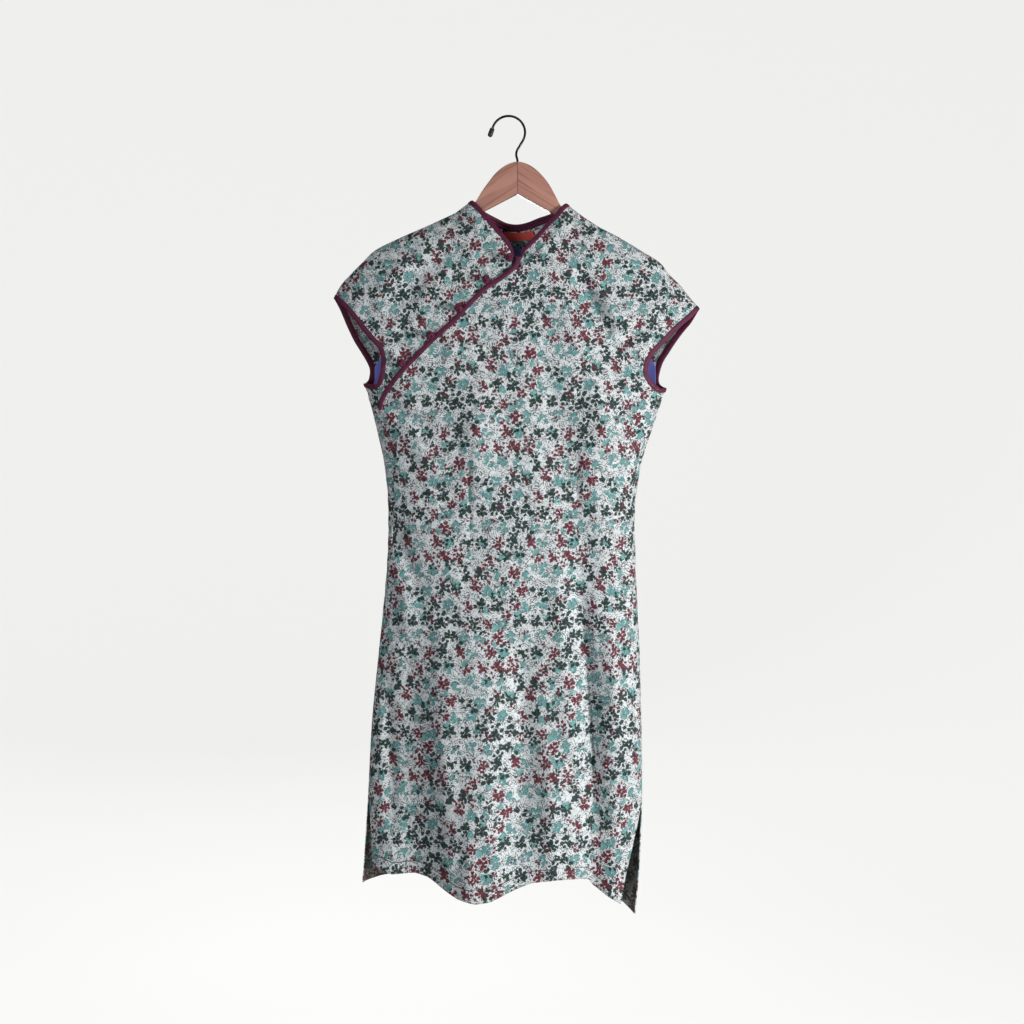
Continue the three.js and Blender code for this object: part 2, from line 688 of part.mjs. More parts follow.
// A round tube through points, closed at both ends.
function tube(points, radius, sides, count) {
  const shape = new THREE.Shape();
  for (let i = 0; i < sides; i += 1) {
    const a = (2 * Math.PI * i) / sides;
    const [px, py] = [radius * Math.cos(a), radius * Math.sin(a)];
    if (i === 0) shape.moveTo(px, py);
    else shape.lineTo(px, py);
  }
  shape.closePath();
  const path = new THREE.CatmullRomCurve3(points, false, "centripetal");
  return closed(new THREE.ExtrudeGeometry(shape, { steps: count, extrudePath: path, bevelEnabled: false }));
}

function hangerWood() {
  const shape = new THREE.Shape(WOOD_OUTLINE.map(([x, z]) => new THREE.Vector2(x, z)));
  const geometry = new THREE.ExtrudeGeometry(shape, {
    depth: WOOD_THICKNESS - 2 * WOOD_BEVEL,
    bevelThickness: WOOD_BEVEL,
    bevelSize: WOOD_BEVEL,
    bevelOffset: -WOOD_BEVEL,
    bevelSegments: 3,
  });
  geometry.rotateX(Math.PI / 2);
  geometry.translate(0, WOOD_THICKNESS / 2 - WOOD_BEVEL, 0);
  return meshOf("hanger_wood", closed(geometry), wood);
}

function hangerHook() {
  const [cx, cz] = HOOK_CENTRE;
  const arc = steps(HOOK_ARC[0], HOOK_ARC[1], 14).map((angle) => {
    const a = THREE.MathUtils.degToRad(angle);
    return new THREE.Vector3(cx + HOOK_RADIUS * Math.cos(a), 0, cz + HOOK_RADIUS * Math.sin(a));
  });
  const neck = HOOK_NECK.map(([x, z]) => new THREE.Vector3(x, 0, z));
  return meshOf("hanger_hook", tube([...arc, ...neck], WIRE_RADIUS, 10, 46), blackMetal);
}

// The rounded tip pushed on the hook's free end.
function hookTip() {
  const { top, end, radius } = HOOK_TIP;
  const from = new THREE.Vector3(top[0], 0, top[1]);
  const to = new THREE.Vector3(end[0], 0, end[1]);
  const direction = new THREE.Vector3().subVectors(to, from);
  const length = direction.length();
  const profile = [new THREE.Vector2(0, 0), new THREE.Vector2(radius * 0.6, 0), new THREE.Vector2(radius * 0.95, 2)];
  for (const angle of steps(0, 90, 5)) {
    const a = THREE.MathUtils.degToRad(angle);
    profile.push(new THREE.Vector2(radius * Math.cos(a), length - radius + radius * Math.sin(a)));
  }
  profile[profile.length - 1].x = 0;
  const geometry = new THREE.LatheGeometry(profile, 12);
  geometry.applyQuaternion(new THREE.Quaternion().setFromUnitVectors(new THREE.Vector3(0, 1, 0), direction.normalize()));
  geometry.translate(from.x, from.y, from.z);
  return meshOf("hook_tip", closed(geometry), blackMetal);
}

const hanger = new THREE.Group();
hanger.add(hangerWood(), hangerHook(), hookTip());

const dress = new THREE.Group();
dress.add(outerFront(), underFront(), backPanel(), backFacing(), backLining());
dress.add(collar(), collarBinding(), openingBinding(), armholeBinding("left"), armholeBinding("right"));
dress.add(ribbon("label", LABEL, 6, 1, red), ribbon("size_tag", TAG, 1, 1, white));
BUTTONS.forEach((spot, index) => dress.add(ballKnot(index, spot), cordLoop(index, spot)));

const garment = new THREE.Group();
garment.add(hanger, dress);

export default garment;
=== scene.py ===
"""The finished look of a sleeveless printed cheongsam dress on its wooden hanger.

All cloth is laid on one shared form. The form and the patterns are in millimetres, as a
dressmaker's are, and each mesh is scaled to metres when it is made.
"""

import logging
import math
from dataclasses import dataclass, field
from enum import Enum
from typing import Callable, Sequence

import bmesh
import bpy
import numpy as np
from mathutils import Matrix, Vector


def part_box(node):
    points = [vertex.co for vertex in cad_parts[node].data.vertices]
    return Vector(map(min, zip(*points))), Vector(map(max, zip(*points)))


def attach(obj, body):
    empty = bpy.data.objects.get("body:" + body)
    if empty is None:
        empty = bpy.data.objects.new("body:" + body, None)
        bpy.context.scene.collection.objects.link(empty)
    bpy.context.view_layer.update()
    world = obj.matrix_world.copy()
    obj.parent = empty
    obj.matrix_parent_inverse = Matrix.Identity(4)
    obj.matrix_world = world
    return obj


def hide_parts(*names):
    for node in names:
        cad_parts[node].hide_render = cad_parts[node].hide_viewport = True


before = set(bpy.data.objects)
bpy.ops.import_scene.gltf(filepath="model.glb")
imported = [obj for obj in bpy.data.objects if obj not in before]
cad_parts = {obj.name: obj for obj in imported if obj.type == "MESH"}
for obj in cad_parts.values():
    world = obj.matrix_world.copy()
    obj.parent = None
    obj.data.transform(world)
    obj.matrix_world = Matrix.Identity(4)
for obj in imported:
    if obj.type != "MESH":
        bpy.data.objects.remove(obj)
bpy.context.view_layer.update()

MM = 0.001
BODY = "root"
CUT_MAP = "cut"
HEM_MAP = "hem"

Line = Sequence[tuple[float, float]]
Edge = Callable[[np.ndarray], np.ndarray]


class Face(Enum):
    """The two faces of the dress. A face's value is the side of it in Y."""

    FRONT = -1
    BACK = 1


class Side(Enum):
    """Left and right as seen from the front. A side's value is its column in the tables."""

    LEFT = 0
    RIGHT = 1


def smooth(value: np.ndarray, low: float, high: float) -> np.ndarray:
    """Eases from 0 at low to 1 at high.

    Args:
        value: Where to read the ease.
        low: Where it starts.
        high: Where it ends.

    Returns:
        The eased share, from 0 to 1.
    """
    t = np.clip((np.asarray(value, float) - low) / (high - low), 0, 1)
    return t * t * (3 - 2 * t)


def steps(start: float, end: float, count: int, power: float = 1.0) -> np.ndarray:
    """Numbers from start to end.

    Args:
        start: The first number.
        end: The last number.
        count: The number of steps between them.
        power: Over 1 it draws the numbers together near the start.

    Returns:
        An array of count + 1 numbers.
    """
    return start + (end - start) * np.linspace(0, 1, count + 1) ** power


def finer(levels: Sequence[float], count: int) -> np.ndarray:
    """Levels with more of them in between.

    Args:
        levels: The levels to keep.
        count: The number of steps from each one to the next.

    Returns:
        The levels and the ones put between them.
    """
    places = np.arange((len(levels) - 1) * count + 1) / count
    return np.interp(places, np.arange(len(levels)), levels)


def column_at(table: np.ndarray, z: np.ndarray, column: int) -> np.ndarray:
    """Reads one column of a table as a smooth curve over its first, which runs downwards.

    Args:
        table: Rows of numbers, each starting with its height.
        z: The heights to read at.
        column: The column to read.

    Returns:
        The column's value at each height.
    """
    last = len(table) - 1
    at = np.clip(z, table[last, 0], table[0, 0])
    i = np.clip(np.searchsorted(-table[:, 0], -at, side="left") - 1, 0, last - 1)
    a, b = table[i], table[i + 1]
    before, after = table[np.maximum(i - 1, 0)], table[np.minimum(i + 2, last)]
    span = b[..., 0] - a[..., 0]
    t = (at - a[..., 0]) / span
    rise = (b[..., column] - before[..., column]) / (b[..., 0] - before[..., 0]) * span
    fall = (after[..., column] - a[..., column]) / (after[..., 0] - a[..., 0]) * span
    t2, t3 = t * t, t ** 3
    return (
        (2 * t3 - 3 * t2 + 1) * a[..., column] + (t3 - 2 * t2 + t) * rise
        + (3 * t2 - 2 * t3) * b[..., column] + (t3 - t2) * fall
    )


def height_over(line: Line) -> Edge:
    """The height of a line of (x, z) points as a function of x."""
    xs, zs = np.array(line, float).T
    return lambda x: np.interp(x, xs, zs)


def distance_to(line: np.ndarray, x: np.ndarray, z: np.ndarray) -> tuple[np.ndarray, np.ndarray]:
    """How far points lie from a line of (x, z) points.

    Args:
        line: The line's points.
        x: The points' x.
        z: The points' heights.

    Returns:
        The distances, and the share of the line's length at which each point is nearest.
    """
    lengths = np.hypot(*np.diff(line, axis=0).T)
    starts = np.concatenate([[0], np.cumsum(lengths)])
    nearest = np.full(np.shape(x), np.inf)
    along = np.zeros(np.shape(x))
    for (ax, az), (bx, bz), length, start in zip(line, line[1:], lengths, starts):
        t = np.clip(((x - ax) * (bx - ax) + (z - az) * (bz - az)) / length ** 2, 0, 1)
        far = np.hypot(x - ax - t * (bx - ax), z - az - t * (bz - az))
        closer = far < nearest
        nearest = np.where(closer, far, nearest)
        along = np.where(closer, (start + t * length) / starts[-1], along)
    return nearest, along


@dataclass
class Spline:
    """A smooth curve through points, with centripetal spacing."""

    points: Sequence[Sequence[float]]

    def at(self, t: np.ndarray) -> np.ndarray:
        """Points of the curve.

        Args:
            t: Where, from 0 at its first point to 1 at its last.

        Returns:
            One point for each t.
        """
        p = np.array(self.points, float)
        last = len(p) - 1
        place = np.clip(np.atleast_1d(t), 0, 1) * last
        i = np.minimum(place.astype(int), last - 1)
        w = (place - i)[:, None]
        padded = np.vstack([2 * p[0] - p[1], p, 2 * p[-1] - p[-2]])
        p0, p1, p2, p3 = (padded[i + k] for k in range(4))
        gap = [np.sqrt(np.linalg.norm(b - a, axis=1))[:, None] for a, b in ((p0, p1), (p1, p2), (p2, p3))]
        d0, d1, d2 = gap
        start = ((p1 - p0) / d0 - (p2 - p0) / (d0 + d1) + (p2 - p1) / d1) * d1
        end = ((p2 - p1) / d1 - (p3 - p1) / (d1 + d2) + (p3 - p2) / d2) * d1
        square = 3 * (p2 - p1) - 2 * start - end
        cube = 2 * (p1 - p2) + start + end
        return p1 + start * w + square * w ** 2 + cube * w ** 3

    def evenly(self, shares: np.ndarray) -> tuple[np.ndarray, np.ndarray]:
        """Points at shares of the curve's length.

        Args:
            shares: Shares of the length, from 0 to 1.

        Returns:
            The points, and the curve's directions there.
        """
        t = np.linspace(0, 1, 40 * len(self.points))
        p = self.at(t)
        run = np.concatenate([[0], np.cumsum(np.linalg.norm(np.diff(p, axis=0), axis=1))])
        at = np.interp(np.asarray(shares) * run[-1], run, t)
        step = 1e-4
        ahead = self.at(np.minimum(at + step, 1)) - self.at(np.maximum(at - step, 0))
        return self.at(at), ahead / np.linalg.norm(ahead, axis=1)[:, None]


@dataclass(frozen=True)
class Fold:
    """A large fold of the skirt, which runs on down to the hem."""

    line: Line
    width: tuple[float, float]
    push: tuple[float, float]

    def out(self, x: np.ndarray, z: np.ndarray) -> np.ndarray:
        """How far the fold pushes the cloth out at points (x, z)."""
        xs, zs = np.array(self.line, float).T
        top, bottom = -zs[0], -zs[-1]
        along = np.clip((-z - top) / (bottom - top), 0, 1)
        middle = np.interp(np.clip(-z, top, bottom), -zs, xs)
        off = (x - middle) / (self.width[0] + (self.width[1] - self.width[0]) * along)
        push = self.push[0] + (self.push[1] - self.push[0]) * along
        return push * np.exp(-off * off) * smooth(-z, top - 60, top + 60)


@dataclass(frozen=True)
class Crease:
    """A soft trough or ridge that fades at both ends."""

    line: Line
    width: float
    push: float

    def out(self, x: np.ndarray, z: np.ndarray) -> np.ndarray:
        """How far the crease pushes the cloth out at points (x, z)."""
        far, along = distance_to(np.array(self.line, float), x, z)
        ends = np.sin(math.pi * np.clip(along, 0, 1)) ** 0.7
        return self.push * ends * np.exp(-((far / self.width) ** 2))


@dataclass
class DressForm:
    """The shape that the dress hangs in. x and z are seen from the front, in millimetres."""

    # Height, left x, right x, front depth and back depth.
    sections: np.ndarray = field(default_factory=lambda: np.array([
        [-134, -74, 97, 20, 18], [-152, -113, 124, 25, 22], [-169, -152, 156, 29, 25],
        [-186, -186, 184, 32, 28], [-203, -204, 211, 35, 30], [-220, -221, 225, 37, 32],
        [-236, -235, 241, 39, 33], [-254, -244, 255, 41, 34], [-270, -246, 267, 43, 35],
        [-300, -238, 262, 46, 37], [-330, -224, 243, 48, 38], [-360, -209, 229, 49, 38],
        [-380, -200, 221, 49, 38], [-424, -188, 206, 48, 36], [-480, -175, 188, 46, 34],
        [-540, -169, 178, 44, 34], [-620, -170, 178, 44, 36], [-732, -180, 183, 47, 38],
        [-844, -191, 186, 51, 40], [-956, -197, 187, 55, 42], [-1068, -204, 182, 60, 44],
        [-1125, -207, 176, 62, 45],
    ], float))
    # Height, then how far in from the widest line the side edges lie: front left, front right,
    # back left and back right. The back wraps forward to meet the front, down to the slits.
    side_edges: np.ndarray = field(default_factory=lambda: np.array([
        [-376, 17, 10, 17, 10], [-400, 13, 8, 13, 8], [-500, 12, 7, 12, 7], [-560, 8, 4, 8, 4],
        [-650, 3, 2, 3, 2], [-750, 0, 0, 0, 0], [-920, 0, 0, 0, 0], [-955, 3, 1, 0, 0],
        [-1010, 10, 12, 0, 0], [-1060, 17, 22, 0, 0], [-1125, 20, 28, 0, 0],
    ], float))
    folds: tuple[Fold, ...] = (
        Fold(((-22, -560), (-38, -800), (-45, -1090)), (60, 50), (0, 26)),
        Fold(((52, -370), (92, -560), (120, -880), (113, -1090)), (26, 22), (-4, -14)),
        Fold(((118, -400), (146, -720), (152, -1090)), (34, 26), (5, 8)),
        Fold(((-150, -600), (-136, -820), (-122, -1090)), (30, 30), (0, -12)),
    )
    front_creases: tuple[Crease, ...] = (
        # Drags from the shoulder and chest on the right.
        Crease(((92, -222), (120, -270), (146, -326)), 10, -5),
        Crease(((140, -330), (166, -312), (190, -296)), 8, -2.5),
        Crease(((112, -226), (134, -264), (160, -300)), 11, 2.5),
        Crease(((60, -236), (84, -290), (96, -350)), 15, 1.6),
        Crease(((114, -380), (130, -425), (140, -470)), 14, 3),
        # Drags from the underarms.
        Crease(((-172, -396), (-140, -420), (-104, -438)), 8, -2.4),
        Crease(((-168, -424), (-128, -462), (-92, -505)), 13, 2),
        Crease(((192, -398), (160, -412), (126, -432)), 8, -2.6),
        Crease(((186, -428), (158, -462), (132, -505)), 12, 2),
        # The bodice on the left, above the opening.
        Crease(((-70, -178), (-120, -226), (-176, -296)), 13, -2),
        Crease(((-110, -186), (-150, -220), (-196, -262)), 10, 1.6),
        Crease(((-170, -310), (-140, -336), (-118, -352)), 8, -1.5),
        # Waist darts.
        Crease(((-52, -442), (-54, -520), (-52, -622)), 3.2, -1.7),
        Crease(((93, -432), (95, -500), (94, -570)), 3.2, -1.6),
        # The waist and hips.
        Crease(((-40, -360), (-44, -450), (-38, -560)), 24, 3),
        Crease(((-172, -556), (-150, -606), (-118, -662)), 12, -3.2),
        Crease(((-168, -600), (-148, -660), (-132, -730)), 12, 2.2),
        Crease(((-124, -540), (-90, -552), (-58, -552)), 7, -1.3),
        Crease(((30, -548), (66, -560), (108, -556)), 8, -1.5),
        Crease(((120, -560), (148, -575), (172, -572)), 7, -1.6),
        Crease(((60, -600), (70, -700), (74, -800)), 12, 2),
        # The skirt, down to the hem.
        Crease(((96, -650), (109, -770), (119, -880), (114, -1000)), 9, -6),
        Crease(((72, -640), (82, -770), (90, -900)), 12, 2.6),
        Crease(((136, -680), (146, -780), (150, -900)), 9, 2.2),
        Crease(((18, -700), (17, -880), (8, -980), (0, -1090)), 22, -7),
        Crease(((54, -860), (60, -960), (64, -1080)), 17, 5),
        Crease(((162, -790), (172, -860), (176, -950)), 10, 4),
        Crease(((-92, -700), (-88, -840), (-92, -990)), 16, 3),
        Crease(((-172, -740), (-166, -860), (-160, -1010)), 10, -4),
        Crease(((-112, -860), (-104, -960), (-100, -1060)), 12, -4),
        Crease(((-64, -990), (-66, -1030), (-72, -1090)), 7, -2),
        Crease(((-20, -960), (-22, -1010), (-16, -1080)), 9, 2.4),
    )
    back_creases: tuple[Crease, ...] = (
        Crease(((-120, -200), (-128, -260), (-118, -330)), 13, -2.6),
        Crease(((128, -206), (134, -268), (122, -338)), 12, -2.4),
        Crease(((-60, -236), (-70, -300), (-66, -380)), 22, 2.4),
        Crease(((64, -230), (76, -296), (74, -376)), 20, 2.2),
        Crease(((-176, -400), (-140, -428), (-96, -452)), 9, -2.6),
        Crease(((190, -404), (156, -430), (112, -450)), 9, -2.6),
        Crease(((-170, -436), (-136, -480), (-110, -530)), 13, 2),
        Crease(((182, -440), (152, -486), (128, -532)), 12, 2.2),
        Crease(((-66, -420), (-68, -520), (-66, -640)), 3.2, -1.8),
        Crease(((80, -420), (82, -520), (80, -640)), 3.2, -1.8),
        Crease(((-40, -548), (4, -560), (52, -550)), 8, -1.8),
        Crease(((-120, -566), (-80, -580), (-30, -578)), 8, -1.5),
        Crease(((96, -570), (132, -586), (166, -580)), 8, -1.6),
        Crease(((-30, -620), (-38, -800), (-44, -1070)), 26, 6),
        Crease(((30, -660), (36, -840), (30, -1070)), 24, -6),
        Crease(((92, -640), (102, -820), (104, -1080)), 24, 6),
        Crease(((-104, -640), (-112, -830), (-114, -1070)), 22, -6),
        Crease(((-160, -700), (-168, -860), (-174, -1060)), 14, 4),
        Crease(((150, -700), (156, -880), (154, -1090)), 14, -4),
        Crease(((-78, -900), (-80, -980), (-78, -1070)), 11, 3),
    )
    # Wavelength across, wavelength down, phase and height of the cloth's faint unevenness.
    ripples: tuple[tuple[float, float, float, float], ...] = (
        (86, 340, 0.4, 0.55), (53, -260, 2.1, 0.4), (37, 150, 4.0, 0.28), (29, -118, 1.2, 0.2),
        (140, 62, 3.3, 0.3), (-71, 47, 5.2, 0.16), (23, 73, 0.9, 0.12), (-19, 41, 2.7, 0.08),
    )
    crease_depth: float = 2.1
    arc_steps: int = 32
    shoulder_top: float = -134
    lowest_tip: float = -275
    underarm: float = -368
    seam_gap: float = 0.1

    def left(self, z: np.ndarray) -> np.ndarray:
        """The x of the widest line on the left."""
        return column_at(self.sections, z, 1)

    def right(self, z: np.ndarray) -> np.ndarray:
        """The x of the widest line on the right."""
        return column_at(self.sections, z, 2)

    def widest(self, side: Side, z: np.ndarray) -> np.ndarray:
        """The x of the widest line on one side."""
        return column_at(self.sections, z, 1 + side.value)

    def creased(self, x: np.ndarray, z: np.ndarray, creases: Sequence[Crease]) -> np.ndarray:
        """How far creases and the faint unevenness push the cloth out.

        Args:
            x: The points' x.
            z: The points' heights.
            creases: The creases of the face they lie on.

        Returns:
            The push out at each point.
        """
        push = self.crease_depth * sum(crease.out(x, z) for crease in creases)
        for across, down, phase, height in self.ripples:
            push = push + height * np.sin(2 * math.pi * (x / across + z / down) + phase)
        return push

    def place(self, x: np.ndarray, z: np.ndarray, face: Face, inset: np.ndarray) -> np.ndarray:
        """Lays points on the form.

        Args:
            x: The points' x. On the back it may run past the widest line, round to the front.
            z: The points' heights.
            face: The face that they belong to.
            inset: How far in from the form's surface they lie.

        Returns:
            The points, with a last axis of three.
        """
        x, z, inset = np.broadcast_arrays(np.asarray(x, float), z, inset)
        left, right = self.left(z), self.right(z)
        centre, half = (left + right) / 2, (right - left) / 2
        across = (x - centre) / half
        wraps = (z <= self.underarm) if face is Face.BACK else np.zeros(z.shape, bool)
        across = np.where(wraps, across, np.clip(across, -1, 1))
        over = np.abs(across) > 1
        across = np.where(over, 2 * np.sign(across) - across, across)
        shows_front = over if face is Face.BACK else ~over
        sign = np.where(shows_front, Face.FRONT.value, Face.BACK.value)
        depth = np.where(shows_front, column_at(self.sections, z, 3), column_at(self.sections, z, 4))
        bow = np.sqrt(np.maximum(0, 1 - across ** 2))
        big = sum(fold.out(x, z) for fold in self.folds)
        front = big + self.creased(x, z, self.front_creases)
        back = self.creased(x, z, self.back_creases)
        push = np.where(shows_front, front, back) * np.minimum(1, 1.4 * bow)
        y = sign * ((depth - inset) * bow + push) + face.value * self.seam_gap
        return np.stack([centre + (half - inset) * across, y, z], axis=-1)

    def unrolled(self, x: np.ndarray, z: np.ndarray, face: Face) -> np.ndarray:
        """Where points lie on the flat cloth, before it is sewn.

        Args:
            x: The points' x.
            z: The points' heights.
            face: The face that they belong to.

        Returns:
            Flat places in millimetres, with a last axis of two.
        """
        left, right = self.left(z), self.right(z)
        centre, half = (left + right) / 2, (right - left) / 2
        across = (x - centre) / half
        depth = column_at(self.sections, z, 3 if face is Face.FRONT else 4)
        size = np.abs(across)
        angle = np.where(size <= 1, np.arcsin(np.minimum(size, 1)), math.pi - np.arcsin(np.minimum(1, 2 - size)))
        part = (np.arange(self.arc_steps) + 0.5) / self.arc_steps * angle[..., None]
        flat = (depth / half)[..., None] * np.sin(part)
        run = np.sign(across) * angle * np.hypot(np.cos(part), flat).mean(axis=-1)
        return np.stack([centre + half * run, z], axis=-1)

    def side_edge(self, side: Side, face: Face, z: np.ndarray) -> np.ndarray:
        """The x of a panel's side edge, counted past the widest line on the back."""
        column = (1 if face is Face.FRONT else 3) + side.value
        inset = np.maximum(0, column_at(self.side_edges, z, column))
        inward = 1 if side is Side.LEFT else -1
        return self.widest(side, z) - face.value * inward * inset

    def shoulder(self, side: Side, x: np.ndarray) -> np.ndarray:
        """The height of a shoulder seam at x, between the collar and the shoulder tip."""
        z = np.linspace(self.shoulder_top, self.lowest_tip, 600)
        run = self.widest(side, z)
        if side is Side.LEFT:
            return np.interp(x, np.minimum.accumulate(run)[::-1], z[::-1])
        return np.interp(x, np.maximum.accumulate(run), z)


@dataclass(frozen=True)
class Armhole:
    """The fold of an armhole's binding on each face, from shoulder tip to underarm."""

    side: Side
    front: Line
    back: Line
    tip: float
    underarm: float

    def line(self, form: DressForm, face: Face, width: float, count: int) -> np.ndarray:
        """The armhole's edge, moved into the cloth.

        Args:
            form: The form that the dress lies on.
            face: The face to take the edge on.
            width: How far into the cloth.
            count: The number of steps along it.

        Returns:
            Points (x, z). The first stays on the shoulder seam and the last on the side seam.
        """
        turn = 1 if self.side is Side.LEFT else -1
        spline = Spline(self.front if face is Face.FRONT else self.back)
        points, ways = spline.evenly(steps(0, 1, count, 1.3))
        line = points + width * turn * np.stack([-ways[:, 1], ways[:, 0]], axis=1)
        tip = self.tip + width * 0.85
        low = self.underarm - width
        line[0] = [form.widest(self.side, tip), tip]
        line[-1] = [form.side_edge(self.side, face, low), low]
        return line


@dataclass(frozen=True)
class Pattern:
    """The lines that the pieces of the dress are cut to."""

    armholes: tuple[Armhole, Armhole] = (
        Armhole(
            Side.LEFT,
            ((-244, -255), (-226, -272), (-212, -289), (-194.5, -311), (-180, -328), (-176, -340),
             (-176.5, -351), (-178.5, -364), (-183, -376)),
            ((-244, -255), (-236.5, -270), (-228, -290.5), (-217.5, -312.5), (-207, -329.5),
             (-199.5, -342.5), (-196, -351.5), (-196, -360), (-198, -368), (-204, -373), (-217, -376)),
            -255, -376,
        ),
        Armhole(
            Side.RIGHT,
            ((267, -270), (256.5, -281.5), (244, -292), (230.5, -304.5), (211.5, -324), (200, -337),
             (194, -349.5), (193, -360), (196.5, -368), (203, -375), (212, -381)),
            ((267, -270), (257, -287), (247.5, -298.5), (237, -312.5), (226.5, -328.5), (218.5, -341.5),
             (213.5, -356.5), (212, -366), (213.5, -373), (222, -379), (231, -381)),
            -270, -381,
        ),
    )
    # The seam between the collar and the panels.
    front_neck_left: Line = ((-74, -134), (-66, -141), (-51, -155.5), (-30, -180), (-10, -202), (8.5, -217))
    front_neck_right: Line = ((17.5, -217), (32, -202.5), (54, -179.5), (74, -157), (89, -142), (97, -134))
    back_neck: Line = ((-74, -134), (-56, -150), (-36, -162), (-14, -169), (11, -172), (36, -169),
                       (58, -161), (80, -149), (97, -134))
    # The middle of the binding down the slanting opening.
    opening: Line = ((13.2, -202), (12.5, -209), (9, -215.5), (-11.5, -232.5), (-30.5, -245),
                     (-55.5, -270), (-74, -290.5), (-94, -308), (-113, -326.5), (-132, -345),
                     (-152, -366.5), (-166.5, -385), (-175, -401), (-177, -409))
    front_hem: Line = ((-187, -1043), (-160, -1051), (-128, -1048), (-110, -1052), (-90, -1063),
                       (-70, -1074), (-45, -1079), (-25, -1077), (3, -1067), (30, -1057), (65, -1053),
                       (98, -1055), (111, -1058), (116, -1066), (133, -1078), (154, -1092))
    back_hem: Line = ((-204, -1071), (-180, -1066), (-120, -1062), (0, -1063), (80, -1066),
                      (120, -1076), (150, -1093), (176, -1115))
    facing_edge: Line = ((-190, -352), (-180, -330), (-165, -290), (-150, -258), (-130, -236),
                         (-95, -212), (-50, -199), (11, -181), (72, -199), (117, -212), (152, -236),
                         (172, -258), (187, -290), (201, -330), (210, -352))
    chest_levels: tuple[float, ...] = (-400, -425, -460, -500, -545)
    skirt_levels: tuple[float, ...] = (-545, -590, -640, -695, -750, -810, -865, -920, -975, -1020)
    lap_corners: tuple[tuple[float, float], tuple[float, float]] = ((12, -221), (20, -246))
    under_binding: float = 4.0
    neck_gap: float = 0.2
    cloth: float = 1.4
    lining_cloth: float = 1.2
    facing_inset: float = 3.0
    lining_inset: float = 4.6
    facing_ends: float = -352
    facing_drop: float = 19
    lining_hem: float = -620
    lining_side: float = 9
    lap_lift: float = 2.0
    lap_width: float = 25
    binding_width: float = 7.0
    hem_depth: float = 16.0

    def armhole(self, side: Side) -> Armhole:
        """The armhole on one side."""
        return self.armholes[side.value]

    def top_edge(self, form: DressForm, neck: Line, drop: float) -> Edge:
        """A panel's top edge: the shoulder seams, with a neck line between them.

        Args:
            form: The form that the dress lies on.
            neck: The neck line.
            drop: How far the panel's neck edge lies below that line.

        Returns:
            The edge's height as a function of x.
        """
        middle = height_over(neck)

        def height(x: np.ndarray) -> np.ndarray:
            """The edge's height at x."""
            sides = np.where(x < neck[0][0], form.shoulder(Side.LEFT, x), form.shoulder(Side.RIGHT, x))
            between = (x >= neck[0][0]) & (x <= neck[-1][0])
            return np.where(between, middle(x) - drop, sides)

        return height

    def lap(self, x: np.ndarray, z: np.ndarray) -> np.ndarray:
        """How far the lapped front lies out from the form."""
        far, _ = distance_to(np.array(self.opening, float), x, z)
        return self.lap_lift * (1 - smooth(far, 30, 90))

    def moved_opening(self, width: float, count: int, first: int = 0) -> np.ndarray:
        """The opening's line moved towards the lower right.

        Args:
            width: How far it is moved.
            count: The number of steps along it.
            first: The point of the line that it starts from.

        Returns:
            The moved line's points, from the collar down.
        """
        points, ways = Spline(self.opening[first:]).evenly(steps(0, 1, count))
        return points + width * np.stack([-ways[:, 1], ways[:, 0]], axis=1)


@dataclass(frozen=True)
class PanelGrid:
    """Rows and columns of (x, z) between two side lines and a top and a bottom edge."""

    left: np.ndarray
    right: np.ndarray
    top: Edge
    bottom: Edge
    across: int
    shaped: int

    def points(self) -> np.ndarray:
        """The grid's points, with axes of row, column and (x, z).

        Returns:
            The grid. The top edge shapes its first rows and the bottom edge the rest.
        """
        rows = len(self.left)
        even = np.linspace(0, 1, self.across + 1)
        share = 0.4 * even + 0.6 * (1 - np.cos(math.pi * even)) / 2
        flat = self.left[:, None, :] * (1 - share[:, None]) + self.right[:, None, :] * share[:, None]
        row = np.arange(rows)
        start = self.shaped if self.shaped < rows - 1 else 0
        above = np.maximum(0, 1 - (row / self.shaped) ** 1.3)
        below = np.maximum(0, (row - start) / (rows - 1 - start)) ** 1.5
        rise = self.top(flat[0, :, 0]) - flat[0, :, 1]
        fall = self.bottom(flat[-1, :, 0]) - flat[-1, :, 1]
        flat[..., 1] += above[:, None] * rise + below[:, None] * fall
        return flat


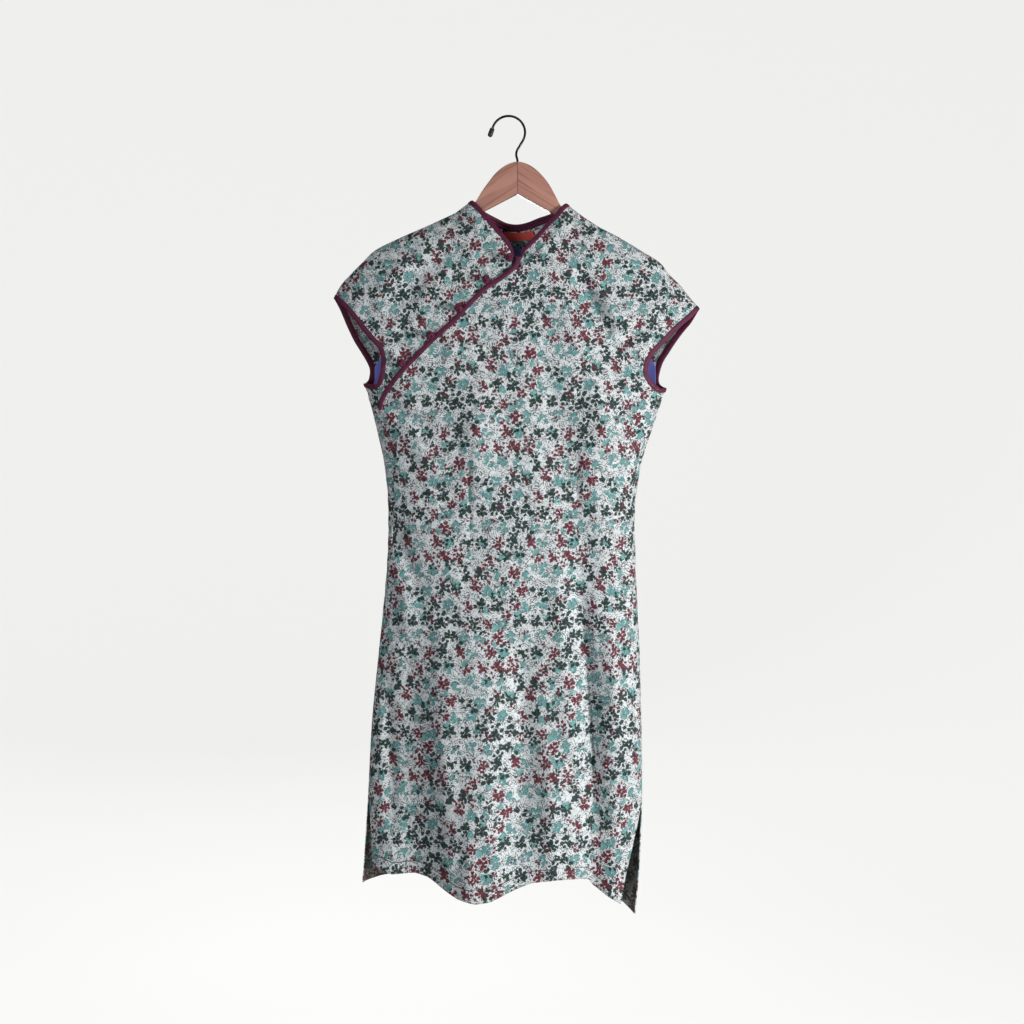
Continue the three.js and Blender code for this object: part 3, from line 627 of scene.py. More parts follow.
def cloth_mesh(
    name: str, points: np.ndarray, cut: np.ndarray, closed: bool = False, outward: Vector | None = None,
    above: np.ndarray | None = None,
) -> bpy.types.Object:
    """Makes a grid of faces through points.

    Args:
        name: The piece's name.
        points: Rows and columns of points in millimetres.
        cut: Their places on the flat cloth, in millimetres.
        closed: Whether the grid's edges meet or are to be capped, so that it holds a volume.
        outward: The way that an open sheet faces.
        above: Each point's height above the hem in millimetres, where the piece has a hem.

    Returns:
        The piece, with its flat places as a UV map in metres.
    """
    rows, columns = points.shape[:2]
    bm = bmesh.new()
    bmesh.ops.create_grid(bm, x_segments=columns - 1, y_segments=rows - 1, size=1)
    uv = bm.loops.layers.uv.new(CUT_MAP)
    hem = bm.loops.layers.uv.new(HEM_MAP) if above is not None else None
    index = {}
    for vert in bm.verts:
        i = round((vert.co.x + 1) / 2 * (columns - 1))
        j = round((1 - vert.co.y) / 2 * (rows - 1))
        index[vert] = (j, i)
    for face in bm.faces:
        face.smooth = True
        for loop in face.loops:
            loop[uv].uv = cut[index[loop.vert]] * MM
            if hem:
                loop[hem].uv = (0, above[index[loop.vert]] * MM)
    for vert, at in index.items():
        vert.co = Vector(points[at] * MM)
    if closed:
        bmesh.ops.remove_doubles(bm, verts=bm.verts, dist=1e-6)
        open_edges = [edge for edge in bm.edges if edge.is_boundary]
        bmesh.ops.holes_fill(bm, edges=open_edges, sides=0)
        bmesh.ops.recalc_face_normals(bm, faces=bm.faces)
    elif outward is not None:
        bm.normal_update()
        facing = sum((face.normal * face.calc_area() for face in bm.faces), Vector())
        if facing.dot(outward) < 0:
            bmesh.ops.reverse_faces(bm, faces=bm.faces)
    return object_from(name, bm)


def object_from(name: str, bm: bmesh.types.BMesh) -> bpy.types.Object:
    """Turns a bmesh into an object of the scene and frees it."""
    mesh = bpy.data.meshes.new(name)
    bm.to_mesh(mesh)
    bm.free()
    piece = bpy.data.objects.new(name, mesh)
    bpy.context.scene.collection.objects.link(piece)
    return piece


def give_thickness(piece: bpy.types.Object, thickness: float, inner_material: int = 0) -> None:
    """Turns an open sheet into a wall, inwards from its faces.

    Args:
        piece: The sheet.
        thickness: The wall's thickness in millimetres.
        inner_material: How many material slots on the inner side's finish lies.
    """
    wall = piece.modifiers.new("wall", "SOLIDIFY")
    wall.thickness = thickness * MM
    wall.offset = -1
    wall.use_even_offset = False
    wall.material_offset = inner_material
    depsgraph = bpy.context.evaluated_depsgraph_get()
    mesh = bpy.data.meshes.new_from_object(piece.evaluated_get(depsgraph))
    piece.modifiers.clear()
    piece.data = mesh
    mesh.set_sharp_from_angle(angle=math.radians(50))


def settle(piece: bpy.types.Object, slot: str, *nodes: str) -> bpy.types.Object:
    """Hands a finished piece to the frame.

    Args:
        piece: The piece.
        slot: The name of the material slot for its finish; it is not used.
        nodes: The plain solids that it stands for.

    Returns:
        The piece.
    """
    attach(piece, BODY)
    if nodes:
        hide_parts(*nodes)
    logging.info("%s: %d faces", piece.name, len(piece.data.polygons))
    return piece


def sweep(
    name: str, path: np.ndarray, radius: np.ndarray, sides: int, closed: bool = False,
) -> bpy.types.Object:
    """Sweeps a round section along a path.

    Args:
        name: The piece's name.
        path: The path's points in millimetres.
        radius: The section's radius at each point.
        sides: The number of the section's sides.
        closed: Whether the path's end meets its start.

    Returns:
        The tube, closed at both ends, with its length and girth as a UV map.
    """
    ways = np.gradient(path, axis=0)
    if closed:
        ways = np.roll(path, -1, axis=0) - np.roll(path, 1, axis=0)
    ways /= np.linalg.norm(ways, axis=1)[:, None]
    side = np.cross(ways[0], [0.31, 0.87, 0.38])
    frames = []
    for way in ways:
        side = side - way * side.dot(way)
        side = side / np.linalg.norm(side)
        frames.append((side, np.cross(way, side)))
    angles = np.linspace(0, 2 * math.pi, sides + 1)
    if closed:
        first, last = frames[0], frames[-1]
        twist = math.atan2(first[0].dot(last[1]), first[0].dot(last[0]))
        count = len(path)
        path, radius = np.vstack([path, path[:1]]), np.append(radius, radius[0])
        turned = []
        for i, (u, v) in enumerate(frames):
            a = twist * i / count
            turned.append((u * math.cos(a) + v * math.sin(a), v * math.cos(a) - u * math.sin(a)))
        frames = [*turned, turned[0]]
    points = np.array([
        [p + r * (math.cos(a) * u + math.sin(a) * v) for a in angles]
        for p, r, (u, v) in zip(path, radius, frames)
    ])
    points[:, -1] = points[:, 0]
    run = np.concatenate([[0], np.cumsum(np.linalg.norm(np.diff(path, axis=0), axis=1))])
    cut = np.array([[(s, a * r) for a in angles] for s, r in zip(run, radius)])
    return cloth_mesh(name, points, cut, closed=True)


def linear(red: int, green: int, blue: int) -> tuple[float, float, float, float]:
    """A screen colour as the linear colour that a shader takes."""
    def channel(value: int) -> float:
        """One channel of the colour."""
        share = value / 255
        return share / 12.92 if share <= 0.04045 else ((share + 0.055) / 1.055) ** 2.4

    return (channel(red), channel(green), channel(blue), 1.0)


Socket = bpy.types.NodeSocket
Input = Socket | float | tuple


@dataclass
class Graph:
    """Wires shader nodes in one tree."""

    tree: bpy.types.NodeTree

    def feed(self, socket: Socket, value: Input) -> None:
        """Links a socket or sets its value."""
        if isinstance(value, bpy.types.NodeSocket):
            self.tree.links.new(value, socket)
        else:
            socket.default_value = value

    def node(self, kind: str, inputs: dict[str, Input] | None = None, **settings: object) -> bpy.types.Node:
        """Adds a node.

        Args:
            kind: The node's type.
            inputs: Values or sockets for its named inputs.
            settings: Its properties.

        Returns:
            The node.
        """
        node = self.tree.nodes.new(kind)
        for key, value in settings.items():
            setattr(node, key, value)
        for key, value in (inputs or {}).items():
            self.feed(node.inputs[key], value)
        return node

    def math(self, operation: str, *values: Input) -> Socket:
        """The result of a Math node."""
        node = self.node("ShaderNodeMath", operation=operation)
        for socket, value in zip(node.inputs, values):
            self.feed(socket, value)
        return node.outputs[0]

    def vector(self, operation: str, *values: Input) -> Socket:
        """The vector that a Vector Math node gives."""
        node = self.node("ShaderNodeVectorMath", operation=operation)
        for socket, value in zip(node.inputs, values):
            self.feed(socket, value)
        return node.outputs["Vector"]

    def scaled(self, vector: Input, by: Input) -> Socket:
        """A vector times a number."""
        return self.node("ShaderNodeVectorMath", {"Vector": vector, "Scale": by}, operation="SCALE").outputs["Vector"]

    def parts(self, vector: Input) -> tuple[Socket, Socket, Socket]:
        """The three parts of a vector or colour."""
        outputs = self.node("ShaderNodeSeparateXYZ", {"Vector": vector}).outputs
        return outputs[0], outputs[1], outputs[2]

    def joined(self, x: Input, y: Input, z: Input = 0.0) -> Socket:
        """A vector of three parts."""
        return self.node("ShaderNodeCombineXYZ", {"X": x, "Y": y, "Z": z}).outputs[0]

    def mix(self, share: Input, first: Input, second: Input) -> Socket:
        """A colour between two colours."""
        node = self.node("ShaderNodeMix", data_type="RGBA")
        for socket, value in zip((node.inputs[0], node.inputs[6], node.inputs[7]), (share, first, second)):
            self.feed(socket, value)
        return node.outputs[2]

    def noise(self, vector: Input, scale: float, detail: float = 2.0, distortion: float = 0.0) -> bpy.types.Node:
        """A noise texture read at a vector."""
        inputs = {"Vector": vector, "Scale": scale, "Detail": detail, "Distortion": distortion}
        return self.node("ShaderNodeTexNoise", inputs)

    def band(self, value: Input, low: float, high: float, ease: bool = True) -> Socket:
        """A share that goes from 0 at low to 1 at high."""
        node = self.node(
            "ShaderNodeMapRange", {"Value": value, "From Min": low, "From Max": high},
            interpolation_type="SMOOTHSTEP" if ease else "LINEAR",
        )
        return node.outputs[0]

    def group(self, made: bpy.types.NodeTree, **inputs: Input) -> bpy.types.Node:
        """Places a node group and feeds its inputs, whose names have underscores for spaces."""
        node = self.node("ShaderNodeGroup", node_tree=made)
        for key, value in inputs.items():
            self.feed(node.inputs[key.replace("_", " ")], value)
        return node


def new_group(name: str, inputs: dict[str, str], outputs: dict[str, str]) -> tuple[Graph, dict[str, Socket], bpy.types.Node]:
    """Starts a node group.

    Args:
        name: The group's name.
        inputs: Its inputs' names and socket types.
        outputs: Its outputs' names and socket types.

    Returns:
        The group's graph, its inputs by name, and its output node.
    """
    tree = bpy.data.node_groups.new(name, "ShaderNodeTree")
    for in_out, sockets in (("INPUT", inputs), ("OUTPUT", outputs)):
        for key, kind in sockets.items():
            tree.interface.new_socket(key, in_out=in_out, socket_type=kind)
    graph = Graph(tree)
    given = graph.node("NodeGroupInput")
    return graph, {key: given.outputs[key] for key in inputs}, graph.node("NodeGroupOutput")


FLOAT = "NodeSocketFloat"
VECTOR = "NodeSocketVector"
COLOR = "NodeSocketColor"


def scatter_group() -> bpy.types.NodeTree:
    """Sets motifs in staggered rows, each moved and turned, that repeat down the cloth.

    Returns:
        A group that gives each place its motif's own coordinates and random numbers.
    """
    inputs = {"Place": VECTOR, "Shift": VECTOR, "Cell": FLOAT, "Loose": FLOAT, "Seed": FLOAT,
              "Columns": FLOAT, "Rows": FLOAT}
    g, given, out = new_group("motif rows", inputs, {"Local": VECTOR, "Random": COLOR, "Kind": FLOAT})
    x, y, _ = g.parts(g.vector("ADD", given["Place"], given["Shift"]))
    down = g.math("DIVIDE", y, given["Cell"])
    row = g.math("FLOOR", down)
    along = g.math("MULTIPLY_ADD", row, 0.5, g.math("DIVIDE", x, given["Cell"]))
    column = g.math("FLOOR", along)
    key = g.joined(
        g.math("FLOORED_MODULO", column, given["Columns"]), g.math("FLOORED_MODULO", row, given["Rows"]),
        given["Seed"],
    )
    dice = g.node("ShaderNodeTexWhiteNoise", {"Vector": key}, noise_dimensions="3D")
    random = dice.outputs["Color"]
    red, green, blue = g.parts(random)
    local = []
    for share, whole, chance in ((along, column, red), (down, row, green)):
        middle = g.math("SUBTRACT", g.math("SUBTRACT", share, whole), 0.5)
        jog = g.math("MULTIPLY", g.math("SUBTRACT", chance, 0.5), given["Loose"])
        local.append(g.math("MULTIPLY", g.math("SUBTRACT", middle, jog), given["Cell"]))
    turned = g.node(
        "ShaderNodeVectorRotate",
        {"Vector": g.joined(*local), "Angle": g.math("MULTIPLY", blue, 2 * math.pi)},
        rotation_type="Z_AXIS",
    )
    g.feed(out.inputs["Local"], turned.outputs[0])
    g.feed(out.inputs["Random"], random)
    g.feed(out.inputs["Kind"], dice.outputs["Value"])
    return g.tree


def ring_group() -> bpy.types.NodeTree:
    """Sets leaves or petals round a motif's middle, of uneven sizes and some left out.

    Returns:
        A group whose Field is above 0 inside a leaf and 1 at its middle.
    """
    inputs = {"Local": VECTOR, "Random": COLOR, "Count": FLOAT, "Reach": FLOAT, "Length": FLOAT,
              "Width": FLOAT, "Kept": FLOAT, "Round": FLOAT}
    g, given, out = new_group("leaf ring", inputs, {"Field": FLOAT})
    x, y, _ = g.parts(given["Local"])
    far = g.math("SQRT", g.math("ADD", g.math("MULTIPLY", x, x), g.math("MULTIPLY", y, y)))
    turn = g.math("MULTIPLY", g.math("DIVIDE", g.math("ARCTAN2", y, x), 2 * math.pi), given["Count"])
    leaf = g.math("FLOOR", turn)
    off = g.math("SUBTRACT", g.math("SUBTRACT", turn, leaf), 0.5)
    off = g.math("MULTIPLY_ADD", g.math("SINE", g.math("MULTIPLY_ADD", leaf, 2.3, 0.7)), 0.16, off)
    angle = g.math("DIVIDE", g.math("MULTIPLY", off, 2 * math.pi), given["Count"])
    red, green, _ = g.parts(given["Random"])
    key = g.joined(leaf, g.math("MULTIPLY", red, 97.0), g.math("MULTIPLY", green, 31.0))
    chance = g.node("ShaderNodeTexWhiteNoise", {"Vector": key}, noise_dimensions="3D").outputs["Color"]
    size_chance, kept_chance, reach_chance = g.parts(chance)
    size = g.math("MULTIPLY_ADD", size_chance, 0.55, 0.68)
    reach = g.math("MULTIPLY", given["Reach"], g.math("MULTIPLY_ADD", reach_chance, 0.6, 0.7))
    along = g.math("SUBTRACT", g.math("MULTIPLY", far, g.math("COSINE", angle)), reach)
    across = g.math("MULTIPLY", far, g.math("SINE", angle))
    long = g.math("DIVIDE", along, g.math("MULTIPLY", given["Length"], size))
    wide = g.math("ABSOLUTE", g.math("DIVIDE", across, g.math("MULTIPLY", given["Width"], size)))
    inside = g.math("SUBTRACT", 1.0, g.math("MULTIPLY", long, long))
    shape = g.math("SUBTRACT", inside, g.math("POWER", wide, given["Round"]))
    kept = g.math("LESS_THAN", kept_chance, given["Kept"])
    shown = g.math("ADD", g.math("MULTIPLY", shape, kept), g.math("SUBTRACT", kept, 1.0))
    g.feed(out.inputs["Field"], shown)
    return g.tree


def weave_group() -> bpy.types.NodeTree:
    """Crosses two sets of threads.

    Returns:
        A group whose Height is the threads' height for a given pitch in millimetres.
    """
    g, given, out = new_group("weave", {"Place": VECTOR, "Pitch": FLOAT}, {"Height": FLOAT})
    wobble = g.scaled(g.noise(given["Place"], 0.6).outputs["Color"], 0.3)
    x, y, _ = g.parts(g.vector("ADD", given["Place"], wobble))
    waves = []
    for part in (x, y):
        turn = g.math("DIVIDE", g.math("MULTIPLY", part, 2 * math.pi), given["Pitch"])
        waves.append(g.math("SINE", turn))
    height = g.math("MULTIPLY_ADD", g.math("MULTIPLY", waves[0], waves[1]), 0.5, 0.5)
    g.feed(out.inputs["Height"], height)
    return g.tree


@dataclass(frozen=True)
class Motif:
    """One kind of leaf or petal ring in the print, and the share of places that it is set in."""

    colour: tuple[int, int, int]
    deep: tuple[int, int, int]
    chance: tuple[float, float]
    count: int
    reach: float
    length: float
    width: float
    kept: float
    roundness: float
    outlined: bool = False


@dataclass(frozen=True)
class MotifRows:
    """Staggered rows of places, with one motif at each."""

    shift: tuple[float, float]
    seed: float
    cell: float
    columns: int
    rows: int
    motifs: tuple[Motif, ...]


@dataclass(frozen=True)
class Scribble:
    """One kind of fine black line work in the print."""

    shift: tuple[float, float]
    seed: float
    pitch: float
    line: float
    reach: tuple[float, float]
    curved: bool
    cell: float = 19.1


@dataclass
class Finishes:
    """The materials of the dress and its hanger."""

    weave: bpy.types.NodeTree = field(default_factory=weave_group)
    scatter: bpy.types.NodeTree = field(default_factory=scatter_group)
    ring: bpy.types.NodeTree = field(default_factory=ring_group)
    ground: tuple[int, int, int] = (208, 214, 216)
    black: tuple[int, int, int] = (30, 32, 38)
    print_rows: tuple[MotifRows, ...] = (
        MotifRows((5, 3), 1, 21.5, 8, 7, (
            Motif((100, 152, 152), (72, 124, 126), (0.0, 0.3), 5, 4.6, 3.8, 3.0, 0.9, 2.2, True),
            Motif((24, 52, 48), (10, 32, 32), (0.3, 0.66), 7, 6.8, 3.3, 2.5, 0.9, 2.0),
            Motif((26, 52, 48), (12, 34, 34), (0.3, 0.66), 4, 2.4, 3.0, 2.4, 0.9, 2.0),
            Motif((108, 32, 48), (70, 20, 36), (0.66, 0.97), 7, 6.4, 2.8, 2.2, 0.82, 2.2),
            Motif((102, 30, 46), (70, 22, 36), (0.66, 0.97), 4, 2.4, 2.8, 2.2, 0.85, 2.2),
        )),
        MotifRows((15, 14), 2, 21.5, 8, 7, (
            Motif((116, 170, 168), (82, 138, 138), (0.0, 0.2), 3, 3.2, 3.5, 3.0, 0.85, 2.2, True),
            Motif((24, 52, 48), (10, 34, 32), (0.2, 0.48), 5, 4.6, 3.0, 2.4, 0.85, 2.0),
            Motif((104, 30, 46), (70, 20, 36), (0.48, 0.68), 5, 4.3, 2.5, 2.1, 0.8, 2.2),
        )),
        MotifRows((9, 19), 3, 17.2, 10, 9, (
            Motif((28, 56, 52), (14, 38, 36), (0.0, 0.16), 4, 3.4, 2.2, 1.6, 0.7, 2.0),
            Motif((104, 32, 48), (72, 22, 38), (0.16, 0.28), 4, 3.0, 2.0, 1.5, 0.7, 2.2),
            Motif((120, 172, 170), (88, 144, 144), (0.28, 0.4), 3, 2.6, 2.6, 2.0, 0.85, 2.2, True),
        )),
    )
    scribbles: tuple[Scribble, ...] = (
        Scribble((4, 9), 11, 3.2, 0.56, (9.0, 6.5), False),
        Scribble((13, 3), 12, 3.4, 0.54, (9.5, 8.5), True),
        Scribble((8, 15), 13, 3.0, 0.5, (7.0, 6.5), True, 21.5),
    )
    # The flowing lines' tilt in degrees, their pitch and half their width.
    flows: tuple[tuple[float, float, float], ...] = ((34, 3.4, 0.52), (-52, 3.8, 0.5))

    def material(self, name: str, **sockets: float | tuple) -> tuple[bpy.types.Material, Graph, bpy.types.Node]:
        """Starts a material.

        Args:
            name: The material's name.
            sockets: Constant values of its shader, with underscores for spaces.

        Returns:
            The material, its graph and its shader node.
        """
        material = bpy.data.materials.new(name)
        material.use_nodes = True
        shader = material.node_tree.nodes["Principled BSDF"]
        for key, value in sockets.items():
            shader.inputs[key.replace("_", " ")].default_value = value
        return material, Graph(material.node_tree), shader

    def flat_place(self, g: Graph) -> Socket:
        """A place on the flat cloth in millimetres."""
        return g.scaled(g.node("ShaderNodeUVMap", uv_map=CUT_MAP).outputs[0], 1 / MM)

    def bump(self, g: Graph, shader: bpy.types.Node, height: Socket, depth: float, strength: float) -> None:
        """Feeds a height to a shader's normal.

        Args:
            g: The material's graph.
            shader: Its shader.
            height: The height, from 0 to 1.
            depth: The height's full size in millimetres.
            strength: How much of it shows.
        """
        node = g.node("ShaderNodeBump", {"Height": height, "Strength": strength, "Distance": depth * MM})
        g.feed(shader.inputs["Normal"], node.outputs[0])

    def printed(self, name: str, fade_and_shade: float) -> bpy.types.Material:
        """The small all-over flower and leaf print.

        Args:
            name: The material's name.
            fade_and_shade: How far it fades towards a dark warm brown: the cloth's wrong side, paler in its print, and
                painted shade for the dim inside of the dress.

        Returns:
            The material.
        """
        material, g, shader = self.material(
            name, Roughness=0.75, Specular_IOR_Level=0.22, Sheen_Weight=0.1, Sheen_Roughness=0.4,
            Sheen_Tint=(1.0, 0.95, 0.82, 1.0),
        )
        place = self.flat_place(g)
        brush = g.vector("SUBTRACT", g.noise(place, 0.42, 3.0).outputs["Color"], (0.5, 0.5, 0.5))
        brushed = g.vector("ADD", place, g.scaled(brush, 3.4))
        tone = g.noise(place, 0.16, 3.0).outputs[0]
        colour = g.mix(g.band(tone, 0.35, 0.7), linear(*self.ground), linear(198, 205, 209))
        ink = self.line_work(g, place, brushed)
        colour = g.mix(g.math("MULTIPLY", ink, 0.88), colour, linear(*self.black))
        stroke = g.noise(brushed, 0.75, 2.0).outputs[0]
        for rows in self.print_rows:
            colour = self.motifs(g, brushed, stroke, rows, colour)
        # The wrong side: the print mixed towards a dark warm brown, partly the paler reverse of the print and partly
        # painted shade for the dim inside of the dress.
        if fade_and_shade:
            colour = g.mix(fade_and_shade, colour, linear(104, 96, 86))
        colour = self.hem_line(g, place, colour)
        g.feed(shader.inputs["Base Color"], colour)
        weave = g.group(self.weave, Place=place, Pitch=0.7).outputs["Height"]
        slub = g.noise(g.vector("MULTIPLY", place, (0.08, 1.4, 1.0)), 1.0, 2.0).outputs[0]
        self.bump(g, shader, g.math("MULTIPLY_ADD", slub, 0.5, weave), 0.12, 0.35)
        return material

    def hem_line(self, g: Graph, place: Socket, colour: Socket) -> Socket:
        """The painted shade of the crease above a turned hem, and the hem's edge darkened over its lowest 3 mm.

        Args:
            g: The material's graph.
            place: The place on the flat cloth.
            colour: The cloth's colour.

        Returns:
            The colour with the line over it.
        """
        above = g.math("DIVIDE", g.parts(g.node("ShaderNodeUVMap", uv_map=HEM_MAP).outputs[0])[1], MM)
        wander = g.math("MULTIPLY_ADD", g.noise(place, 0.05, 2.0).outputs[0], 3.0, 14.5)
        off = g.math("ABSOLUTE", g.math("SUBTRACT", above, wander))
        # Painted shade: a dark brown line along the crease where the turned hem ends.
        pressed = g.math("MULTIPLY", g.band(off, 1.3, 0.3), g.band(g.noise(place, 0.02, 1.0).outputs[0], 0.34, 0.52))
        colour = g.mix(g.math("MULTIPLY", pressed, 0.8), colour, linear(58, 50, 46))
        # The hem's lowest 3 mm, darkened a little.
        edge = g.math("MULTIPLY", g.math("GREATER_THAN", above, 0.02), g.band(above, 3.0, 0.0))
        return g.mix(g.math("MULTIPLY", edge, 0.4), colour, linear(112, 98, 88))

    def motifs(
        self, g: Graph, brushed: Socket, stroke: Socket, rows: MotifRows, colour: Socket,
    ) -> Socket:
        """Prints one set of rows over a colour.

        Args:
            g: The material's graph.
            brushed: The place on the flat cloth, with a brush's wobble.
            stroke: The unevenness of the brush's colour.
            rows: The rows and their motifs.
            colour: The colour beneath.

        Returns:
            The colour with the motifs over it.
        """
        places = g.group(
            self.scatter, Place=brushed, Shift=(*rows.shift, 0.0), Cell=rows.cell, Loose=0.34,
            Seed=rows.seed, Columns=float(rows.columns), Rows=float(rows.rows),
        )
        kind = places.outputs["Kind"]
        for motif in rows.motifs:
            low, high = motif.chance
            chosen = g.math("MULTIPLY", g.math("GREATER_THAN", kind, low), g.math("LESS_THAN", kind, high))
            shape = {
                "Random": places.outputs["Random"], "Count": float(motif.count), "Reach": motif.reach,
                "Length": motif.length, "Width": motif.width, "Kept": motif.kept, "Round": motif.roundness,
            }
            ring = g.group(self.ring, Local=places.outputs["Local"], **shape).outputs["Field"]
            inside = g.math("MULTIPLY", g.band(ring, 0.0, 0.08), chosen)
            tint = g.mix(g.band(stroke, 0.36, 0.62), linear(*motif.deep), linear(*motif.colour))
            colour = g.mix(g.math("MULTIPLY", inside, 0.95), colour, tint)
            if motif.outlined:
                moved = g.vector("ADD", places.outputs["Local"], (1.2, -0.8, 0.0))
                edge = g.group(self.ring, Local=moved, **shape).outputs["Field"]
                rim = g.math("MULTIPLY", g.band(edge, -0.14, -0.04), g.band(edge, 0.3, 0.18))
                rim = g.math("MULTIPLY", g.math("MULTIPLY", rim, chosen), g.band(stroke, 0.34, 0.44))
                colour = g.mix(g.math("MULTIPLY", rim, 0.9), colour, linear(*self.black))
        return colour

    def line_work(self, g: Graph, place: Socket, brushed: Socket) -> Socket:
        """The print's fine black arcs and hair lines.

        Args:
            g: The material's graph.
            place: The place on the flat cloth.
            brushed: That place with a brush's wobble.

        Returns:
            The share of black.
        """
        ink: Input = 0.0
        patchy = g.noise(place, 0.3, 2.0).outputs[0]
        for mark in self.scribbles:
            rows = g.group(
                self.scatter, Place=brushed, Shift=(*mark.shift, 0.0), Cell=mark.cell, Loose=0.5,
                Seed=mark.seed, Columns=9.0, Rows=8.0,
            )
            x, y, _ = g.parts(rows.outputs["Local"])
            across = g.math("DIVIDE", x, mark.reach[0])
            down = g.math("DIVIDE", y, mark.reach[1])
            far = g.math("ADD", g.math("MULTIPLY", across, across), g.math("MULTIPLY", down, down))
            if mark.curved:
                run = g.math("MULTIPLY", g.math("SQRT", far), sum(mark.reach) / 2)
                kept = g.math("LESS_THAN", g.math("ADD", across, g.math("ABSOLUTE", down)), 0.25)
                inside = g.math("MULTIPLY", g.math("LESS_THAN", far, 1.0), kept)
            else:
                run = g.math("MULTIPLY_ADD", g.math("MULTIPLY", x, x), 0.07, y)
                inside = g.math("LESS_THAN", far, 1.0)
            off = g.math("PINGPONG", run, mark.pitch / 2)
            thin = g.math("LESS_THAN", off, mark.line)
            drawn = g.math("MULTIPLY", g.math("MULTIPLY", thin, inside), g.band(patchy, 0.44, 0.5))
            ink = g.math("MAXIMUM", ink, drawn)
        waves = g.math("MULTIPLY", g.noise(place, 0.07, 1.0).outputs[0], 26.0)
        for number, (tilt, pitch, line) in enumerate(self.flows):
            turned = g.node(
                "ShaderNodeVectorRotate", {"Vector": brushed, "Angle": math.radians(tilt)},
                rotation_type="Z_AXIS",
            ).outputs[0]
            off = g.math("PINGPONG", g.math("ADD", g.parts(turned)[1], waves), pitch / 2)
            strokes = g.noise(g.vector("MULTIPLY", turned, (0.09, 0.3, 1.0)), 1.0 + 0.13 * number, 2.0).outputs[0]
            drawn = g.math("MULTIPLY", g.math("LESS_THAN", off, line), g.band(strokes, 0.5, 0.55))
            ink = g.math("MAXIMUM", ink, drawn)
        return ink

    def binding(self) -> bpy.types.Material:
        """The burgundy bias binding, with its slanting weave and small puckers."""
        material, g, shader = self.material(
            "burgundy_binding", Roughness=0.55, Specular_IOR_Level=0.35, Sheen_Weight=0.12,
            Sheen_Roughness=0.35, Sheen_Tint=(0.9, 0.45, 0.65, 1.0),
        )
        place = self.flat_place(g)
        turned = g.node("ShaderNodeVectorRotate", {"Vector": place, "Angle": math.radians(45)}, rotation_type="Z_AXIS")
        weave = g.group(self.weave, Place=turned.outputs[0], Pitch=0.6).outputs["Height"]
        pucker = g.noise(g.vector("MULTIPLY", place, (0.5, 0.12, 1.0)), 1.0, 3.0).outputs[0]
        colour = g.mix(g.band(pucker, 0.3, 0.7), linear(64, 10, 40), linear(88, 19, 55))
        colour = g.mix(g.math("MULTIPLY", weave, 0.3), colour, linear(104, 31, 70))
        g.feed(shader.inputs["Base Color"], colour)
        self.bump(g, shader, g.math("MULTIPLY_ADD", pucker, 3.0, weave), 0.16, 0.6)
        return material

    def lining(self) -> bpy.types.Material:
        """The smooth lavender lining."""
        material, g, shader = self.material(
            "lavender_lining", Roughness=0.42, Specular_IOR_Level=0.5, Sheen_Weight=0.15,
        )
        place = self.flat_place(g)
        soft = g.noise(g.vector("MULTIPLY", place, (0.05, 0.012, 1.0)), 1.0, 2.0).outputs[0]
        colour = g.mix(g.band(soft, 0.3, 0.7), linear(122, 126, 216), linear(150, 154, 238))
        g.feed(shader.inputs["Base Color"], colour)
        weave = g.group(self.weave, Place=place, Pitch=0.4).outputs["Height"]
        self.bump(g, shader, g.math("MULTIPLY_ADD", soft, 6.0, weave), 0.1, 0.4)
        return material

    def ribbon(self, name: str, colour: tuple[int, int, int]) -> bpy.types.Material:
        """A woven ribbon of one colour, with ribs across it.

        Args:
            name: The material's name.
            colour: The ribbon's colour.

        Returns:
            The material.
        """
        material, g, shader = self.material(name, Roughness=0.6, Sheen_Weight=0.2)
        place = self.flat_place(g)
        ribs = g.math("SINE", g.math("MULTIPLY", g.parts(place)[0], 2 * math.pi / 0.8))
        tone = g.noise(place, 0.5, 2.0).outputs[0]
        deep = tuple(int(0.86 * c) for c in colour)
        share = g.math("MULTIPLY_ADD", ribs, 0.2, g.math("MULTIPLY", tone, 0.6))
        g.feed(shader.inputs["Base Color"], g.mix(share, linear(*colour), linear(*deep)))
        self.bump(g, shader, g.math("MULTIPLY_ADD", ribs, 0.5, 0.5), 0.12, 0.5)
        return material

    def wood(self, middle: float) -> bpy.types.Material:
        """Reddish-brown lacquered wood whose grain follows each arm.

        Args:
            middle: The x of the joint between the two halves, in metres.

        Returns:
            The material.
        """
        material, g, shader = self.material(
            "hanger_wood_finish", Roughness=0.38, Specular_IOR_Level=0.5, Coat_Roughness=0.22,
        )
        x, y, z = g.parts(g.node("ShaderNodeTexCoord").outputs["Object"])
        aside = g.math("ABSOLUTE", g.math("SUBTRACT", x, middle))
        half = g.math("GREATER_THAN", x, middle)
        along = g.math("ADD", g.math("MULTIPLY", aside, 0.85), g.math("MULTIPLY", z, -0.52))
        across = g.math("ADD", g.math("MULTIPLY", aside, 0.52), g.math("MULTIPLY", z, 0.85))
        grain_at = g.joined(g.math("MULTIPLY", along, 9.0), g.math("MULTIPLY", across, 240.0), g.math("MULTIPLY_ADD", half, 5.0, g.math("MULTIPLY", y, 60.0)))
        grain = g.noise(grain_at, 1.0, 5.0, 0.6).outputs[0]
        broad_at = g.joined(g.math("MULTIPLY", along, 5.0), g.math("MULTIPLY", across, 46.0), g.math("MULTIPLY", half, 9.0))
        broad = g.noise(broad_at, 1.0, 2.0, 0.8).outputs[0]
        colour = g.mix(g.band(broad, 0.3, 0.7), linear(158, 112, 100), linear(182, 134, 118))
        colour = g.mix(g.math("MULTIPLY", g.band(grain, 0.5, 0.68), 0.5), colour, linear(112, 66, 54))
        joint = g.math("LESS_THAN", aside, 0.0005)
